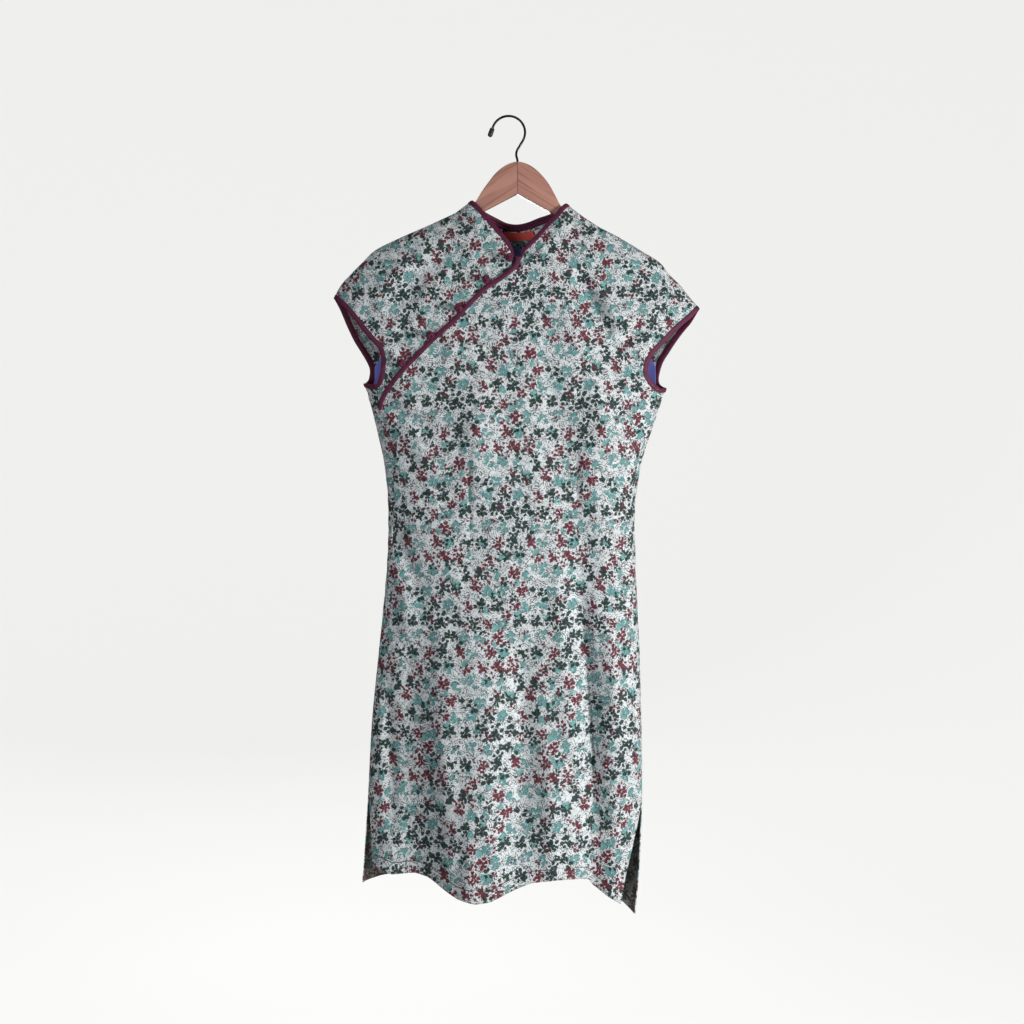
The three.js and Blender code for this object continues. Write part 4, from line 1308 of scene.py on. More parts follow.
        colour = g.mix(g.math("MULTIPLY", joint, 0.7), colour, linear(74, 40, 32))
        g.feed(shader.inputs["Base Color"], colour)
        g.feed(shader.inputs["Roughness"], g.math("MULTIPLY_ADD", grain, 0.16, 0.3))
        shader.inputs["Coat Weight"].default_value = 0.35
        self.bump(g, shader, grain, 0.2, 0.3)
        return material

    def black_metal(self) -> bpy.types.Material:
        """The hook's satin black coat, rubbed a little."""
        material, g, shader = self.material("black_hook_metal", Metallic=0.6, Specular_IOR_Level=0.5)
        at = g.node("ShaderNodeTexCoord").outputs["Object"]
        rubbed = g.noise(at, 160.0, 4.0).outputs[0]
        g.feed(shader.inputs["Base Color"], g.mix(g.band(rubbed, 0.5, 0.75), linear(24, 23, 25), linear(52, 50, 52)))
        g.feed(shader.inputs["Roughness"], g.math("MULTIPLY_ADD", rubbed, 0.3, 0.22))
        self.bump(g, shader, rubbed, 0.1, 0.2)
        return material

    def rubber(self) -> bpy.types.Material:
        """The soft black cap on the hook's free end."""
        material, g, shader = self.material("black_cap", Specular_IOR_Level=0.4)
        dull = g.noise(g.node("ShaderNodeTexCoord").outputs["Object"], 420.0, 3.0).outputs[0]
        g.feed(shader.inputs["Base Color"], g.mix(dull, linear(26, 25, 26), linear(44, 42, 43)))
        g.feed(shader.inputs["Roughness"], g.math("MULTIPLY_ADD", dull, 0.2, 0.4))
        return material

    def studio(self) -> bpy.types.Material:
        """The pale floor and backdrop."""
        material, g, shader = self.material(
            "pale_backdrop", Roughness=0.9, Specular_IOR_Level=0.1, Emission_Color=(0.97, 0.98, 0.96, 1.0),
        )
        tone = g.noise(g.node("ShaderNodeTexCoord").outputs["Object"], 0.4, 1.0).outputs[0]
        g.feed(shader.inputs["Base Color"], g.mix(tone, (0.19, 0.19, 0.188, 1), (0.21, 0.21, 0.208, 1)))
        seen = g.node("ShaderNodeLightPath").outputs["Is Camera Ray"]
        g.feed(shader.inputs["Emission Strength"], g.math("MULTIPLY", seen, 0.81))
        return material


@dataclass
class Panels:
    """The printed panels of the dress, and the facing and lining inside its back."""

    form: DressForm
    pattern: Pattern
    print_finish: bpy.types.Material
    reverse_finish: bpy.types.Material
    lining_finish: bpy.types.Material
    arm_rows: int = 56
    chest_steps: int = 8
    skirt_steps: int = 13
    columns: int = 112

    def laid(
        self, name: str, node: str, grid: np.ndarray, face: Face, inset: float, thickness: float,
        finishes: Sequence[bpy.types.Material], slot: str, lift: Callable | None = None,
        hem: Edge | None = None,
    ) -> tuple[bpy.types.Object, np.ndarray]:
        """Lays a panel on the form and hands it to the frame.

        Args:
            name: The piece's name.
            node: The plain solid that it stands for.
            grid: Its points (x, z).
            face: The face that it lies on.
            inset: How far in its outer side lies.
            thickness: The cloth's thickness.
            finishes: Its outer finish, and its inner one where that differs.
            slot: The material slot that it takes its finish from.
            lift: How far it lies further out, as a function of x and z.
            hem: Its hem's height over x.

        Returns:
            The piece and its points' places on the flat cloth.
        """
        x, z = grid[..., 0], grid[..., 1]
        depth = inset - (lift(x, z) if lift else 0.0)
        cut = self.form.unrolled(x, z, face)
        piece = cloth_mesh(
            name, self.form.place(x, z, face, depth), cut, outward=Vector((0, face.value, 0)),
            above=z - hem(x) if hem else None,
        )
        for finish in finishes:
            piece.data.materials.append(finish)
        give_thickness(piece, thickness, len(finishes) - 1)
        settle(piece, slot, node)
        return piece, cut

    def hem_relief(self, hem: Edge) -> Callable[[np.ndarray, np.ndarray], np.ndarray]:
        """The doubled hem: a little thicker, with a pressed line along its top.

        Args:
            hem: The hem's height over x.

        Returns:
            How far the cloth lies out, as a function of x and z.
        """
        def out(x: np.ndarray, z: np.ndarray) -> np.ndarray:
            """How far the cloth lies out at a point."""
            above = z - hem(x)
            line = np.exp(-(((above - self.pattern.hem_depth) / 1.8) ** 2))
            pucker = 0.5 + 0.5 * np.sin(x / 3.1 + 2.0 * np.sin(x / 17.0))
            return 0.5 * smooth(-above, -self.pattern.hem_depth, 0.5 - self.pattern.hem_depth) - line * (0.5 + 0.5 * pucker)

        return out

    def side_rows(self, side: Side, face: Face, hem: float) -> np.ndarray:
        """A full-length side line: the armhole, the side seam and the slit.

        Args:
            side: The side.
            face: The face.
            hem: The hem's height on that side.

        Returns:
            Points (x, z), from the shoulder down.
        """
        arm = self.pattern.armhole(side).line(self.form, face, self.pattern.under_binding, self.arm_rows)
        chest = finer((arm[-1][1], *self.pattern.chest_levels), self.chest_steps)[1:]
        skirt = finer((*self.pattern.skirt_levels, hem), self.skirt_steps)[1:]
        z = np.concatenate([chest, skirt])
        seam = np.stack([self.form.side_edge(side, face, z), z], axis=1)
        return np.vstack([arm, seam])

    def back(self) -> tuple[bpy.types.Object, np.ndarray]:
        """The whole back panel."""
        hem = self.pattern.back_hem
        grid = PanelGrid(
            self.side_rows(Side.LEFT, Face.BACK, hem[0][1]), self.side_rows(Side.RIGHT, Face.BACK, hem[-1][1]),
            self.pattern.top_edge(self.form, self.pattern.back_neck, self.pattern.neck_gap),
            height_over(hem), self.columns, self.arm_rows,
        ).points()
        relief = self.hem_relief(height_over(hem))
        return self.laid(
            "back_panel", "back", grid, Face.BACK, 0.0, self.pattern.cloth,
            (self.print_finish, self.reverse_finish), "print", relief, height_over(hem),
        )

    def outer_front(self) -> tuple[bpy.types.Object, np.ndarray]:
        """The front that laps over, cut along the slanting opening."""
        pattern, form = self.pattern, self.form
        slant = pattern.moved_opening(1.0, 60)
        hem = pattern.front_hem
        right = self.side_rows(Side.RIGHT, Face.FRONT, hem[-1][1])
        upper = self.arm_rows + self.chest_steps * len(pattern.chest_levels)
        z = np.concatenate([
            steps(slant[-1][1], pattern.chest_levels[-1], upper),
            finer((*pattern.skirt_levels, hem[0][1]), self.skirt_steps)[1:],
        ])
        left = np.stack([form.side_edge(Side.LEFT, Face.FRONT, z), z], axis=1)
        kept = [tuple(p) for p in slant[::-1] if p[0] > left[0][0] + 2 and p[1] < -219]
        edge = (tuple(left[0]), *kept, *pattern.front_neck_right)
        top = pattern.top_edge(form, edge, 0.0)
        grid = PanelGrid(left, right, top, height_over(hem), self.columns + 8, upper).points()
        relief = self.hem_relief(height_over(hem))
        return self.laid(
            "front_panel", "front_outer", grid, Face.FRONT, 0.0, pattern.cloth,
            (self.print_finish, self.reverse_finish), "print",
            lambda x, z: pattern.lap(x, z) + relief(x, z), height_over(hem),
        )

    def under_front(self) -> tuple[bpy.types.Object, np.ndarray]:
        """The panel under the lap, at the wearer's right shoulder."""
        pattern, form = self.pattern, self.form
        hidden = pattern.moved_opening(pattern.lap_width, 24, 3)[::-1]
        levels = finer((-390, -400, -412, -425, -440), 4)
        seam = np.stack([form.side_edge(Side.LEFT, Face.FRONT, levels) + 1.2, levels], axis=1)
        arm = pattern.armhole(Side.LEFT).line(form, Face.FRONT, pattern.under_binding, self.arm_rows)
        left = np.vstack([arm, seam])
        share = np.linspace(0, 1, len(left))[:, None]
        upper, lower = (np.array(corner, float) for corner in pattern.lap_corners)
        right = upper * (1 - share) + lower * share
        top = pattern.top_edge(form, (*pattern.front_neck_left, pattern.lap_corners[0]), pattern.neck_gap)
        kept = [tuple(p) for p in hidden if left[-1][0] + 6 < p[0] < 14]
        bottom = height_over((tuple(left[-1]), *kept, tuple(right[-1])))
        grid = PanelGrid(left, right, top, bottom, 64, 40).points()
        return self.laid(
            "front_under_panel", "front_underlap", grid, Face.FRONT, 0.0, pattern.cloth,
            (self.print_finish, self.reverse_finish), "print",
        )

    def facing_sides(self, rows: int) -> tuple[np.ndarray, np.ndarray]:
        """The two side lines of the back's facing, of rows steps each."""
        lines = []
        for side in Side:
            arm = self.pattern.armhole(side).line(self.form, Face.BACK, 6.0, 200)
            top = arm[0][1] - self.pattern.facing_drop
            kept = arm[(arm[:, 1] > self.pattern.facing_ends) & (arm[:, 1] < top)]
            at = np.linspace(0, len(kept) - 1, rows + 1)
            lines.append(np.stack([np.interp(at, np.arange(len(kept)), kept[:, k]) for k in range(2)], axis=1))
        return lines[0], lines[1]

    def facing(self) -> tuple[bpy.types.Object, np.ndarray]:
        """The printed facing inside the back's neck and armholes."""
        pattern = self.pattern
        rows = 30
        left, right = self.facing_sides(rows)
        seam = pattern.top_edge(self.form, pattern.back_neck, pattern.neck_gap)
        line = height_over((tuple(left[-1]), *pattern.facing_edge[1:-1], tuple(right[-1])))
        grid = PanelGrid(
            left, right,
            lambda x: seam(x) - pattern.facing_drop * smooth(np.abs(x - 11), 0, 38),
            line, 90, rows,
        ).points()
        return self.laid(
            "back_facing", "facing_back", grid, Face.BACK, pattern.facing_inset, pattern.lining_cloth,
            (self.print_finish,), "print",
        )

    def lining(self) -> tuple[bpy.types.Object, np.ndarray]:
        """The lavender lining inside the back."""
        pattern, form = self.pattern, self.form
        rows = 60
        lines = []
        for side in Side:
            arm = pattern.armhole(side).line(form, Face.BACK, 6.0, 200)
            start = arm[arm[:, 1] > pattern.facing_ends][-1]
            inward = pattern.lining_side if side is Side.LEFT else -pattern.lining_side
            z = steps(start[1], pattern.lining_hem, rows, 1.5)
            free = form.widest(side, z) + inward
            beside = start[0] - inward / 3
            share = smooth(z, pattern.armhole(side).underarm - 14, pattern.armhole(side).underarm + 2)
            lines.append(np.stack([free * (1 - share) + beside * share, z], axis=1))
        line = height_over((tuple(lines[0][0]), *pattern.facing_edge[1:-1], tuple(lines[1][0])))
        grid = PanelGrid(
            lines[0], lines[1], lambda x: line(x) + 3.0, lambda x: np.full(np.shape(x), pattern.lining_hem), 90, rows,
        ).points()
        return self.laid(
            "back_lining", "lining_back", grid, Face.BACK, pattern.lining_inset, pattern.lining_cloth,
            (self.lining_finish,), "lining",
        )


@dataclass
class CollarBand:
    """The stand collar, its binding, and the ribbons sewn inside it."""

    form: DressForm
    pattern: Pattern
    # Along the seam from the wearer's right round to the left: the seam's x and z and its face,
    # then the top edge's x, y and z.
    stations: tuple[tuple, ...] = (
        (4.5, -213.5, Face.FRONT, 8.5, -30, -200), (-4, -207.5, Face.FRONT, 4, -28.5, -184),
        (-18, -193, Face.FRONT, -3, -27, -172.5), (-32, -178, Face.FRONT, -13, -23.5, -160),
        (-46, -161.5, Face.FRONT, -26, -18.5, -144), (-59, -147.5, Face.FRONT, -38, -13.5, -130),
        (-68, -139, Face.FRONT, -46, -9.5, -121), (-72.5, -135, Face.FRONT, -50, -5, -117.5),
        (-74, -134, Face.BACK, -51, 0, -117), (-71, -136.5, Face.BACK, -48.5, 7, -119),
        (-56, -150, Face.BACK, -34, 14, -129), (-36, -162, Face.BACK, -16, 18, -138),
        (-14, -169, Face.BACK, -3, 20, -144), (11, -172, Face.BACK, 11, 21, -146),
        (36, -169, Face.BACK, 26, 20, -143.5), (58, -161, Face.BACK, 42, 18, -137.5),
        (80, -149, Face.BACK, 60, 14, -132), (94.5, -137, Face.BACK, 77.5, 7, -123.5),
        (97, -134, Face.BACK, 80.5, 0, -121), (95, -136, Face.FRONT, 78.5, -5, -122),
        (90, -141, Face.FRONT, 73, -9.5, -127), (80, -151, Face.FRONT, 64, -13.5, -139),
        (67, -165, Face.FRONT, 52, -18.5, -152.5), (54, -179.5, Face.FRONT, 41, -23.5, -165.5),
        (40, -194.5, Face.FRONT, 30, -27, -177.5), (27, -208, Face.FRONT, 21.5, -28.5, -187.5),
        (17.5, -217, Face.FRONT, 16, -30, -199),
    )
    cloth: float = 1.6
    along: int = 180

    def __post_init__(self) -> None:
        """Works out the curves of the seam and of the top edge."""
        base = [self.form.place(np.array(x), np.array(z), face, 0.0) for x, z, face, *_ in self.stations]
        self.base = Spline(base)
        self.top = Spline([row[3:] for row in self.stations])
        self.last = len(self.stations) - 1

    def on_sheet(self, station: np.ndarray, height: np.ndarray) -> np.ndarray:
        """Points at shares of the collar's height, with no inset."""
        t = np.ravel(station) / self.last
        h = np.ravel(height)[:, None]
        return self.base.at(t) * (1 - h) + self.top.at(t) * h

    def points(self, station: np.ndarray, height: np.ndarray, inset: np.ndarray) -> np.ndarray:
        """Points of the collar.

        Args:
            station: Places along it, counted in stations.
            height: Shares of its height, from 0 at the seam to 1 at the top edge.
            inset: How far inside its outer face they lie.

        Returns:
            The points, with a last axis of three.
        """
        station, height, inset = np.broadcast_arrays(np.asarray(station, float), height, inset)
        s, h = station.ravel(), height.ravel()
        way = self.on_sheet(np.minimum(s + 0.2, self.last), h) - self.on_sheet(np.maximum(s - 0.2, 0), h)
        up = self.on_sheet(s, np.ones_like(h)) - self.on_sheet(s, np.zeros_like(h))
        inward = np.cross(way, up)
        inward /= np.linalg.norm(inward, axis=1)[:, None]
        found = self.on_sheet(s, h) + inward * inset.ravel()[:, None]
        return found.reshape(*station.shape, 3)

    def lengths(self, station: np.ndarray) -> tuple[np.ndarray, np.ndarray]:
        """The collar's run and its height at stations along it.

        Args:
            station: Places along it, counted in stations.

        Returns:
            The length along its middle, and its height there.
        """
        middle = self.on_sheet(station, np.full(len(station), 0.5))
        run = np.concatenate([[0], np.cumsum(np.linalg.norm(np.diff(middle, axis=0), axis=1))])
        tall = self.on_sheet(station, np.ones(len(station))) - self.on_sheet(station, np.zeros(len(station)))
        return run, np.linalg.norm(tall, axis=1)

    def band(self, finish: bpy.types.Material) -> tuple[bpy.types.Object, np.ndarray]:
        """The printed collar itself.

        Args:
            finish: Its finish.

        Returns:
            The piece and its points' places on the flat cloth.
        """
        station = steps(0, self.last, self.along)
        run, tall = self.lengths(station)
        share = np.linspace(-0.015, 1, 15)[:, None] * (1 - 2.5 / tall)
        points = self.points(np.broadcast_to(station, share.shape), share, np.zeros(share.shape))
        cut = np.stack([np.broadcast_to(run, share.shape), share * tall + 240], axis=-1)
        piece = cloth_mesh("collar_band", points, cut, outward=None)
        self.turn_outwards(piece)
        piece.data.materials.append(finish)
        give_thickness(piece, self.cloth)
        settle(piece, "print", "collar")
        return piece, cut

    def turn_outwards(self, piece: bpy.types.Object) -> None:
        """Makes a sheet that runs round the neck face away from the neck's middle."""
        middle = sum((vert.co for vert in piece.data.vertices), Vector()) / len(piece.data.vertices)
        away = sum((face.center - middle).dot(face.normal) * face.area for face in piece.data.polygons)
        if away < 0:
            piece.data.flip_normals()

    def binding(self, finish: bpy.types.Material) -> bpy.types.Object:
        """The binding folded over the collar's top edge."""
        station = steps(0, self.last, self.along)
        run, tall = self.lengths(station)
        # How far below the fold, and how far inside the collar's face.
        profile = np.array([
            (7.4, 0.15), (7.2, -0.35), (6.6, -0.7), (5, -0.85), (3, -0.9), (1.4, -0.75), (0.35, -0.25),
            (0, 0.7), (0.35, 1.7), (1.4, 2.4), (3, 2.8), (4.6, 2.6), (5.5, 2.0), (6.3, 2.6), (8, 2.8),
            (9.6, 2.5), (10.4, 1.9), (7.4, 1.4), (7.4, 0.15),
        ])
        wobble = 0.25 * np.sin(run / 7.3) + 0.15 * np.sin(run / 3.1 + 1)
        below = profile[:, 0][:, None] + wobble * (profile[:, 0] > 5)[:, None]
        share = 1 - below / tall
        inset = np.broadcast_to(profile[:, 1][:, None], share.shape)
        points = self.points(np.broadcast_to(station, share.shape), share, inset)
        girth = np.concatenate([[0], np.cumsum(np.hypot(*np.diff(profile, axis=0).T))])
        cut = np.stack(np.broadcast_arrays(run, girth[:, None]), axis=-1)
        piece = cloth_mesh("collar_binding", points, cut, closed=True)
        piece.data.materials.append(finish)
        piece.data.set_sharp_from_angle(angle=math.radians(60))
        return settle(piece, "binding", "binding_collar")

    def ribbon(
        self, name: str, node: str, span: tuple[float, float], heights: tuple[float, float],
        finish: bpy.types.Material,
    ) -> tuple[bpy.types.Object, np.ndarray]:
        """A ribbon sewn flat inside the collar.

        Args:
            name: The piece's name.
            node: The plain solid that it stands for.
            span: The stations that it runs between.
            heights: The shares of the collar's height that it lies between.
            finish: Its finish.

        Returns:
            The piece and its points' places on the flat cloth.
        """
        station = steps(*span, 30)
        run, tall = self.lengths(station)
        share = np.broadcast_to(steps(*heights, 6)[:, None], (7, 31))
        lift = self.cloth + 0.5 + 0.5 * np.sin(np.linspace(0, math.pi, 31)) * (share - heights[0]) * 2
        points = self.points(np.broadcast_to(station, share.shape), share, lift)
        cut = np.stack([np.broadcast_to(run, share.shape), share * tall], axis=-1)
        piece = cloth_mesh(name, points, cut, outward=Vector((0, -1, 0)))
        piece.data.materials.append(finish)
        give_thickness(piece, 0.45)
        settle(piece, name.split("_")[-1], node)
        return piece, cut


@dataclass
class Bindings:
    """The bias bindings round the armholes and down the slanting opening."""

    form: DressForm
    pattern: Pattern
    finish: bpy.types.Material

    def armhole(self, side: Side, node: str) -> bpy.types.Object:
        """The binding that wraps an armhole's edge.

        Args:
            side: The side of the armhole.
            node: The plain solid that it stands for.

        Returns:
            The piece.
        """
        # How far into the cloth, and how far inside its face.
        profile = np.array([
            (7.3, 0.0), (7.1, -0.6), (6.3, -1.0), (4.6, -1.15), (2.8, -1.15), (1.3, -0.85), (0.3, -0.1),
            (0, 0.7), (0.3, 1.6), (1.3, 2.2), (2.8, 2.55), (4.6, 2.6), (6.3, 2.4), (7.1, 2.0), (7.3, 1.4),
            (7.3, 0.0),
        ])
        hole = self.pattern.armhole(side)
        rings = []
        for face in Face:
            lines = np.stack([hole.line(self.form, face, width, 80) for width in profile[:, 0]])
            inset = np.broadcast_to(profile[:, 1][:, None], lines.shape[:2])
            rings.append(self.form.place(lines[..., 0], lines[..., 1], face, inset))
        points = np.concatenate([rings[0], rings[1][:, ::-1], rings[0][:, :1]], axis=1)
        middle = points[7]
        run = np.concatenate([[0], np.cumsum(np.linalg.norm(np.diff(middle, axis=0), axis=1))])
        girth = np.concatenate([[0], np.cumsum(np.hypot(*np.diff(profile, axis=0).T))])
        cut = np.stack(np.broadcast_arrays(run, girth[:, None]), axis=-1)
        piece = cloth_mesh(node.replace("binding_armhole", "armhole_binding"), points, cut, closed=True)
        piece.data.materials.append(self.finish)
        piece.data.set_sharp_from_angle(angle=math.radians(60))
        return settle(piece, "binding", node)

    def opening(self) -> bpy.types.Object:
        """The binding along the lapped front's slanting edge."""
        # Towards the lapped front, and how far inside the form's surface.
        profile = np.array([
            (3.6, -1.9), (3.5, -2.6), (2.8, -3.0), (1.2, -3.25), (-0.8, -3.25), (-2.4, -3.0), (-3.3, -2.3),
            (-3.6, -1.4), (-3.4, -0.4), (0, -0.2), (3.4, -0.5), (3.6, -1.9),
        ])
        count = 150
        points, ways = Spline(self.pattern.opening).evenly(steps(0, 1, count))
        normal = np.stack([-ways[:, 1], ways[:, 0]], axis=1)
        run = np.linspace(0, 1, count + 1) * 300
        wobble = 1 + 0.03 * np.sin(run / 6.1) + 0.02 * np.sin(run / 2.7 + 2)
        across = points[None] + normal[None] * (profile[:, 0][:, None] * wobble)[..., None]
        inset = np.broadcast_to(profile[:, 1][:, None], across.shape[:2])
        laid = self.form.place(across[..., 0], across[..., 1], Face.FRONT, inset)
        girth = np.concatenate([[0], np.cumsum(np.hypot(*np.diff(profile, axis=0).T))])
        cut = np.stack(np.broadcast_arrays(run, girth[:, None]), axis=-1)
        piece = cloth_mesh("opening_binding", laid, cut, closed=True)
        piece.data.materials.append(self.finish)
        piece.data.set_sharp_from_angle(angle=math.radians(60))
        return settle(piece, "binding", "binding_opening")


@dataclass
class Knots:
    """The ball knots beside the opening and the cord loops that hold them."""

    finish: bpy.types.Material
    count: int = 5
    cord: float = 1.75
    ball: float = 5.9
    loop_cord: float = 1.25

    def knot(self, index: int) -> bpy.types.Object:
        """A ball knot of one cord, woven over and under itself round a sphere.

        Args:
            index: The knot's number, from 1 at the collar.

        Returns:
            The piece.
        """
        node = f"button_{index}"
        low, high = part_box(node)
        centre = np.array([(low.x + high.x) / 2, low.y + self.ball * MM, (low.z + high.z) / 2]) / MM
        turn = np.linspace(0, 2 * math.pi, 260, endpoint=False)
        radius = self.ball - self.cord
        tilt = math.radians(40 + 29 * index)
        latitude = 1.02 * np.sin(4 * turn)
        longitude = 3 * turn
        over = 1 + 0.13 * np.cos(8 * turn + 0.6)
        x = radius * over * np.cos(latitude) * np.cos(longitude)
        y = radius * over * np.cos(latitude) * np.sin(longitude)
        z = radius * over * np.sin(latitude)
        path = np.stack([
            x * math.cos(tilt) - z * math.sin(tilt), y, x * math.sin(tilt) + z * math.cos(tilt),
        ], axis=1) + centre
        cord = sweep(f"ball_knot_{index}", path, np.full(len(path), self.cord), 10, closed=True)
        self.add_core(cord, centre, high.y / MM)
        cord.data.materials.append(self.finish)
        return settle(cord, "binding", node)

    def add_core(self, cord: bpy.types.Object, centre: np.ndarray, seat: float) -> None:
        """Adds what fills a knot, and the shank that it is sewn on with.

        Args:
            cord: The knot's cord.
            centre: The ball's middle.
            seat: The y of the cloth behind it.
        """
        bm = bmesh.new()
        bm.from_mesh(cord.data)
        ball = bmesh.ops.create_icosphere(bm, subdivisions=3, radius=(self.ball - 1.9) * MM)
        bmesh.ops.translate(bm, verts=ball["verts"], vec=Vector(centre) * MM)
        shank = bmesh.ops.create_cone(
            bm, cap_ends=True, segments=16, radius1=1.9 * MM, radius2=1.6 * MM, depth=(seat - centre[1]) * MM,
        )
        bmesh.ops.rotate(bm, verts=shank["verts"], cent=Vector(), matrix=turn_to_y())
        middle = Vector((centre[0], (centre[1] + seat) / 2, centre[2])) * MM
        bmesh.ops.translate(bm, verts=shank["verts"], vec=middle)
        for face in bm.faces:
            face.smooth = True
        bm.to_mesh(cord.data)
        bm.free()

    def loop(self, index: int) -> bpy.types.Object:
        """The loop round a knot's shank, with its two tails tucked under the binding.

        Args:
            index: The loop's number, from 1 at the collar.

        Returns:
            The piece.
        """
        node = f"loop_{index}"
        low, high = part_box(node)
        knot_low, knot_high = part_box(f"button_{index}")
        x, z = ((knot_low[k] + knot_high[k]) / 2 / MM for k in (0, 2))
        y = (low.y + high.y) / 2 / MM
        angles = np.radians(np.linspace(-95, 95, 15) + 135)
        ring = [(x + 4.1 * math.cos(a), y, z + 4.1 * math.sin(a)) for a in angles]
        reach = 7.5 if index > 1 else 4.5
        tails = [(x + reach * 0.72 + 1.4 * k, y - 0.2, z - reach * 0.72 + 1.4 * k) for k in (-1, 1)]
        path = Spline([tails[0], *ring[::-1], tails[1]])
        points, _ = path.evenly(steps(0, 1, 70))
        piece = sweep(f"knot_loop_{index}", points, np.full(len(points), self.loop_cord), 10)
        piece.data.materials.append(self.finish)
        return settle(piece, "binding", node)


def turn_to_y() -> "bpy.types.Matrix":
    """A turn that stands a Z axis along Y."""
    from mathutils import Matrix
    return Matrix.Rotation(math.radians(-90), 3, "X")


@dataclass
class Hanger:
    """The two-piece wooden hanger and its metal hook."""

    finishes: Finishes
    outline: Line = (
        (12, -107.5), (66, -137.5), (128, -172), (194, -208.5), (201, -211), (204.5, -208), (200, -204),
        (184, -194.5), (156, -178), (124, -161.5), (99, -146.5), (84, -136), (74, -126.5), (65, -110),
        (56, -94), (43, -78.5), (29, -68), (13, -63.4), (-3, -68), (-17, -78.5), (-28, -92),
        (-38, -106), (-47, -120.5), (-60, -134), (-74, -145), (-113, -161), (-152, -178), (-168, -185.5),
        (-176, -191), (-179, -197), (-176, -203), (-169, -202.5), (-92, -162), (-34, -131.5), (12, -107.5),
    )
    thickness: float = 12
    rounding: float = 3.2
    middle: float = 12.6
    wire: float = 1.65
    hook_centre: tuple[float, float] = (0, -21.45)
    hook_radius: float = 23.1
    hook_arc: tuple[float, float] = (163, -6)
    hook_neck: Line = ((21, -31), (15.7, -40), (11.4, -48), (10.8, -53.5), (12.2, -59), (12.6, -64.5))
    cap_top: tuple[float, float] = (-22.3, -15.3)
    cap_end: tuple[float, float] = (-26.8, -27.8)
    cap_radius: float = 3.5

    def wood(self) -> bpy.types.Object:
        """Both halves of the wood as one solid with rounded edges; where they join is a dark line in its finish."""
        inner = Spline(self.outline[1:-1]).at(np.linspace(0, 1, 260))
        bm = bmesh.new()
        rim = [bm.verts.new(Vector((x, -self.thickness / 2, z)) * MM) for x, z in ((12, -107.5), *inner)]
        face = bm.faces.new(rim)
        made = bmesh.ops.extrude_face_region(bm, geom=[face])
        moved = [item for item in made["geom"] if isinstance(item, bmesh.types.BMVert)]
        bmesh.ops.translate(bm, verts=moved, vec=Vector((0, self.thickness * MM, 0)))
        bmesh.ops.recalc_face_normals(bm, faces=bm.faces)
        rims = [e for e in bm.edges if abs(e.verts[0].co.y - e.verts[1].co.y) < 1e-6]
        bmesh.ops.bevel(
            bm, geom=rims, offset=self.rounding * MM, offset_type="OFFSET", segments=5, profile=0.5,
            affect="EDGES", material=-1, clamp_overlap=True,
        )
        for part in bm.faces:
            part.smooth = True
        piece = object_from("hanger_wood_halves", bm)
        piece.data.set_sharp_from_angle(angle=math.radians(35))
        piece.data.materials.append(self.finishes.wood(self.middle * MM))
        return settle(piece, "wood", "hanger_wood")

    def hook(self) -> bpy.types.Object:
        """The wire hook, down to the ferrule where it enters the wood."""
        cx, cz = self.hook_centre
        angles = np.radians(np.linspace(*self.hook_arc, 24))
        arc = [(cx + self.hook_radius * math.cos(a), 0, cz + self.hook_radius * math.sin(a)) for a in angles]
        neck = [(x, 0, z) for x, z in self.hook_neck]
        points, _ = Spline([*arc, *neck]).evenly(steps(0, 1, 160))
        piece = sweep("hook_wire", points, np.full(len(points), self.wire), 20)
        piece.data.materials.append(self.finishes.black_metal())
        return settle(piece, "black_metal", "hanger_hook")

    def cap(self) -> bpy.types.Object:
        """The rounded cap on the hook's free end."""
        start = np.array([self.cap_top[0], 0, self.cap_top[1]])
        end = np.array([self.cap_end[0], 0, self.cap_end[1]])
        length = np.linalg.norm(end - start)
        r = self.cap_radius
        round_end = np.radians(np.linspace(0, 88, 10))
        runs = np.concatenate([[0, 0.6, 2], length - r + r * np.sin(round_end)])
        radii = np.concatenate([[r * 0.6, r * 0.82, r * 0.95], r * np.cos(round_end)])
        path = start + (end - start) * (runs / length)[:, None]
        piece = sweep("hook_cap", path, radii, 24)
        piece.data.materials.append(self.finishes.rubber())
        piece.data.set_sharp_from_angle(angle=math.radians(50))
        return settle(piece, "black_metal", "hook_tip")


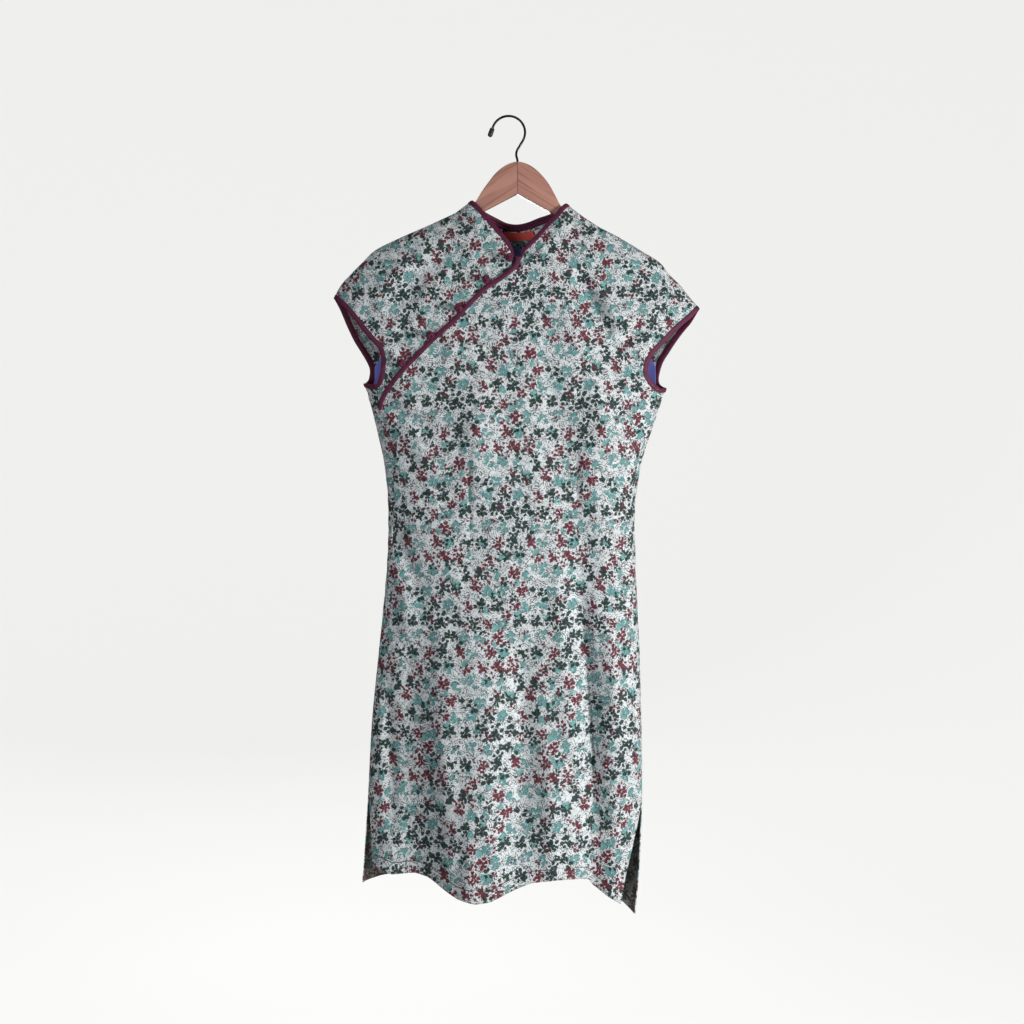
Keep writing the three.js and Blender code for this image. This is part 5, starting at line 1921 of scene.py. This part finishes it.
@dataclass
class Studio:
    """The pale backdrop, the lights and the camera."""

    finish: bpy.types.Material
    camera_at: tuple[float, float, float] = (0.0049, -1.991, -0.5527)
    lens: float = 50
    film: float = 36
    floor: float = -1.62
    bowl: float = 3.4
    bend: float = 1.5
    wall: float = 2.6

    def backdrop(self) -> None:
        """A floor that curves up into a wall all round."""
        bm = bmesh.new()
        bend = np.radians(np.linspace(-90, 0, 18))
        flat = self.bowl - self.bend
        line = [(0.0, self.floor), (flat * 0.5, self.floor)]
        line += [(flat + self.bend * math.cos(a), self.floor + self.bend + self.bend * math.sin(a)) for a in bend]
        line.append((self.bowl, self.wall))
        verts = [bm.verts.new((x, 0, z)) for x, z in line]
        edges = [bm.edges.new(pair) for pair in zip(verts, verts[1:])]
        bmesh.ops.spin(
            bm, geom=[*verts, *edges], cent=(0, 0, 0), axis=(0, 0, 1), angle=2 * math.pi, steps=96,
            use_merge=True,
        )
        bmesh.ops.remove_doubles(bm, verts=bm.verts, dist=1e-5)
        bmesh.ops.recalc_face_normals(bm, faces=bm.faces)
        for face in bm.faces:
            face.smooth = True
        bowl = object_from("backdrop", bm)
        bowl.data.materials.append(self.finish)

    def light(self, name: str, at: tuple, size: float, power: float, colour: tuple) -> None:
        """Adds a square soft light that faces the dress.

        Args:
            name: The light's name.
            at: Where it stands.
            size: The length of its side.
            power: Its power in watts.
            colour: Its colour.
        """
        data = bpy.data.lights.new(name, "AREA")
        data.size = size
        data.energy = power
        data.color = colour
        lamp = bpy.data.objects.new(name, data)
        lamp.location = at
        lamp.rotation_euler = (Vector((0, 0, -0.55)) - Vector(at)).to_track_quat("-Z", "Y").to_euler()
        bpy.context.scene.collection.objects.link(lamp)

    def lights(self) -> None:
        """Soft light from the upper left and front, and a pale sky."""
        self.light("key", (2.15, -1.45, -0.7), 0.55, 78, (1.0, 0.985, 0.96))
        self.light("fill", (-1.2, -2.3, -0.6), 1.4, 24, (0.96, 0.98, 1.0))
        self.light("top", (-0.3, -0.4, 2.2), 1.2, 5, (1.0, 1.0, 1.0))
        self.light("rear", (-0.6, 2.2, 0.2), 1.4, 44, (1.0, 1.0, 1.0))
        world = bpy.data.worlds.new("pale_sky")
        world.use_nodes = True
        sky = world.node_tree.nodes["Background"]
        sky.inputs["Color"].default_value = (0.97, 0.98, 1.0, 1.0)
        sky.inputs["Strength"].default_value = 0.18
        bpy.context.scene.world = world

    def camera(self) -> None:
        """A level camera at the height of the dress's middle."""
        data = bpy.data.cameras.new("camera")
        data.lens = self.lens
        data.sensor_width = self.film
        camera = bpy.data.objects.new("camera", data)
        camera.location = self.camera_at
        camera.rotation_euler = (math.radians(90), 0, 0)
        bpy.context.scene.collection.objects.link(camera)
        bpy.context.scene.camera = camera
        bpy.context.scene.view_settings.view_transform = "Standard"


def main() -> None:
    """Builds the hanger, the dress and the studio."""
    logging.basicConfig(level=logging.INFO, format="%(message)s")
    finishes = Finishes()
    studio = Studio(finishes.studio())
    studio.camera()
    studio.backdrop()
    studio.lights()

    form, pattern = DressForm(), Pattern()
    printed = finishes.printed("floral_print", 0.0)
    # The wrong side of the print, darkened with painted shade for the inside of the dress.
    reverse = finishes.printed("floral_print_reverse_shaded", 0.55)
    burgundy = finishes.binding()

    hanger = Hanger(finishes)
    wood = hanger.wood()
    hanger.hook()
    hanger.cap()

    bindings = Bindings(form, pattern, burgundy)
    arm_left = bindings.armhole(Side.LEFT, "binding_armhole_left")
    arm_right = bindings.armhole(Side.RIGHT, "binding_armhole_right")
    slant = bindings.opening()

    panels = Panels(form, pattern, printed, reverse, finishes.lining())
    front, front_cut = panels.outer_front()
    under, under_cut = panels.under_front()
    back, back_cut = panels.back()
    facing, facing_cut = panels.facing()
    lining, lining_cut = panels.lining()

    collar = CollarBand(form, pattern)
    band, band_cut = collar.band(printed)
    edge = collar.binding(burgundy)
    label, label_cut = collar.ribbon(
        "neck_label", "label", (12.15, 14.15), (0.12, 0.55), finishes.ribbon("label_red", (248, 86, 68)),
    )
    tag, _ = collar.ribbon(
        "neck_tag", "size_tag", (14.25, 14.6), (0.2, 0.5), finishes.ribbon("tag_white", (232, 230, 224)),
    )

    knots = Knots(burgundy)
    for index in range(1, knots.count + 1):
        knots.knot(index)
        knots.loop(index)


if __name__ == "__main__":
    main()
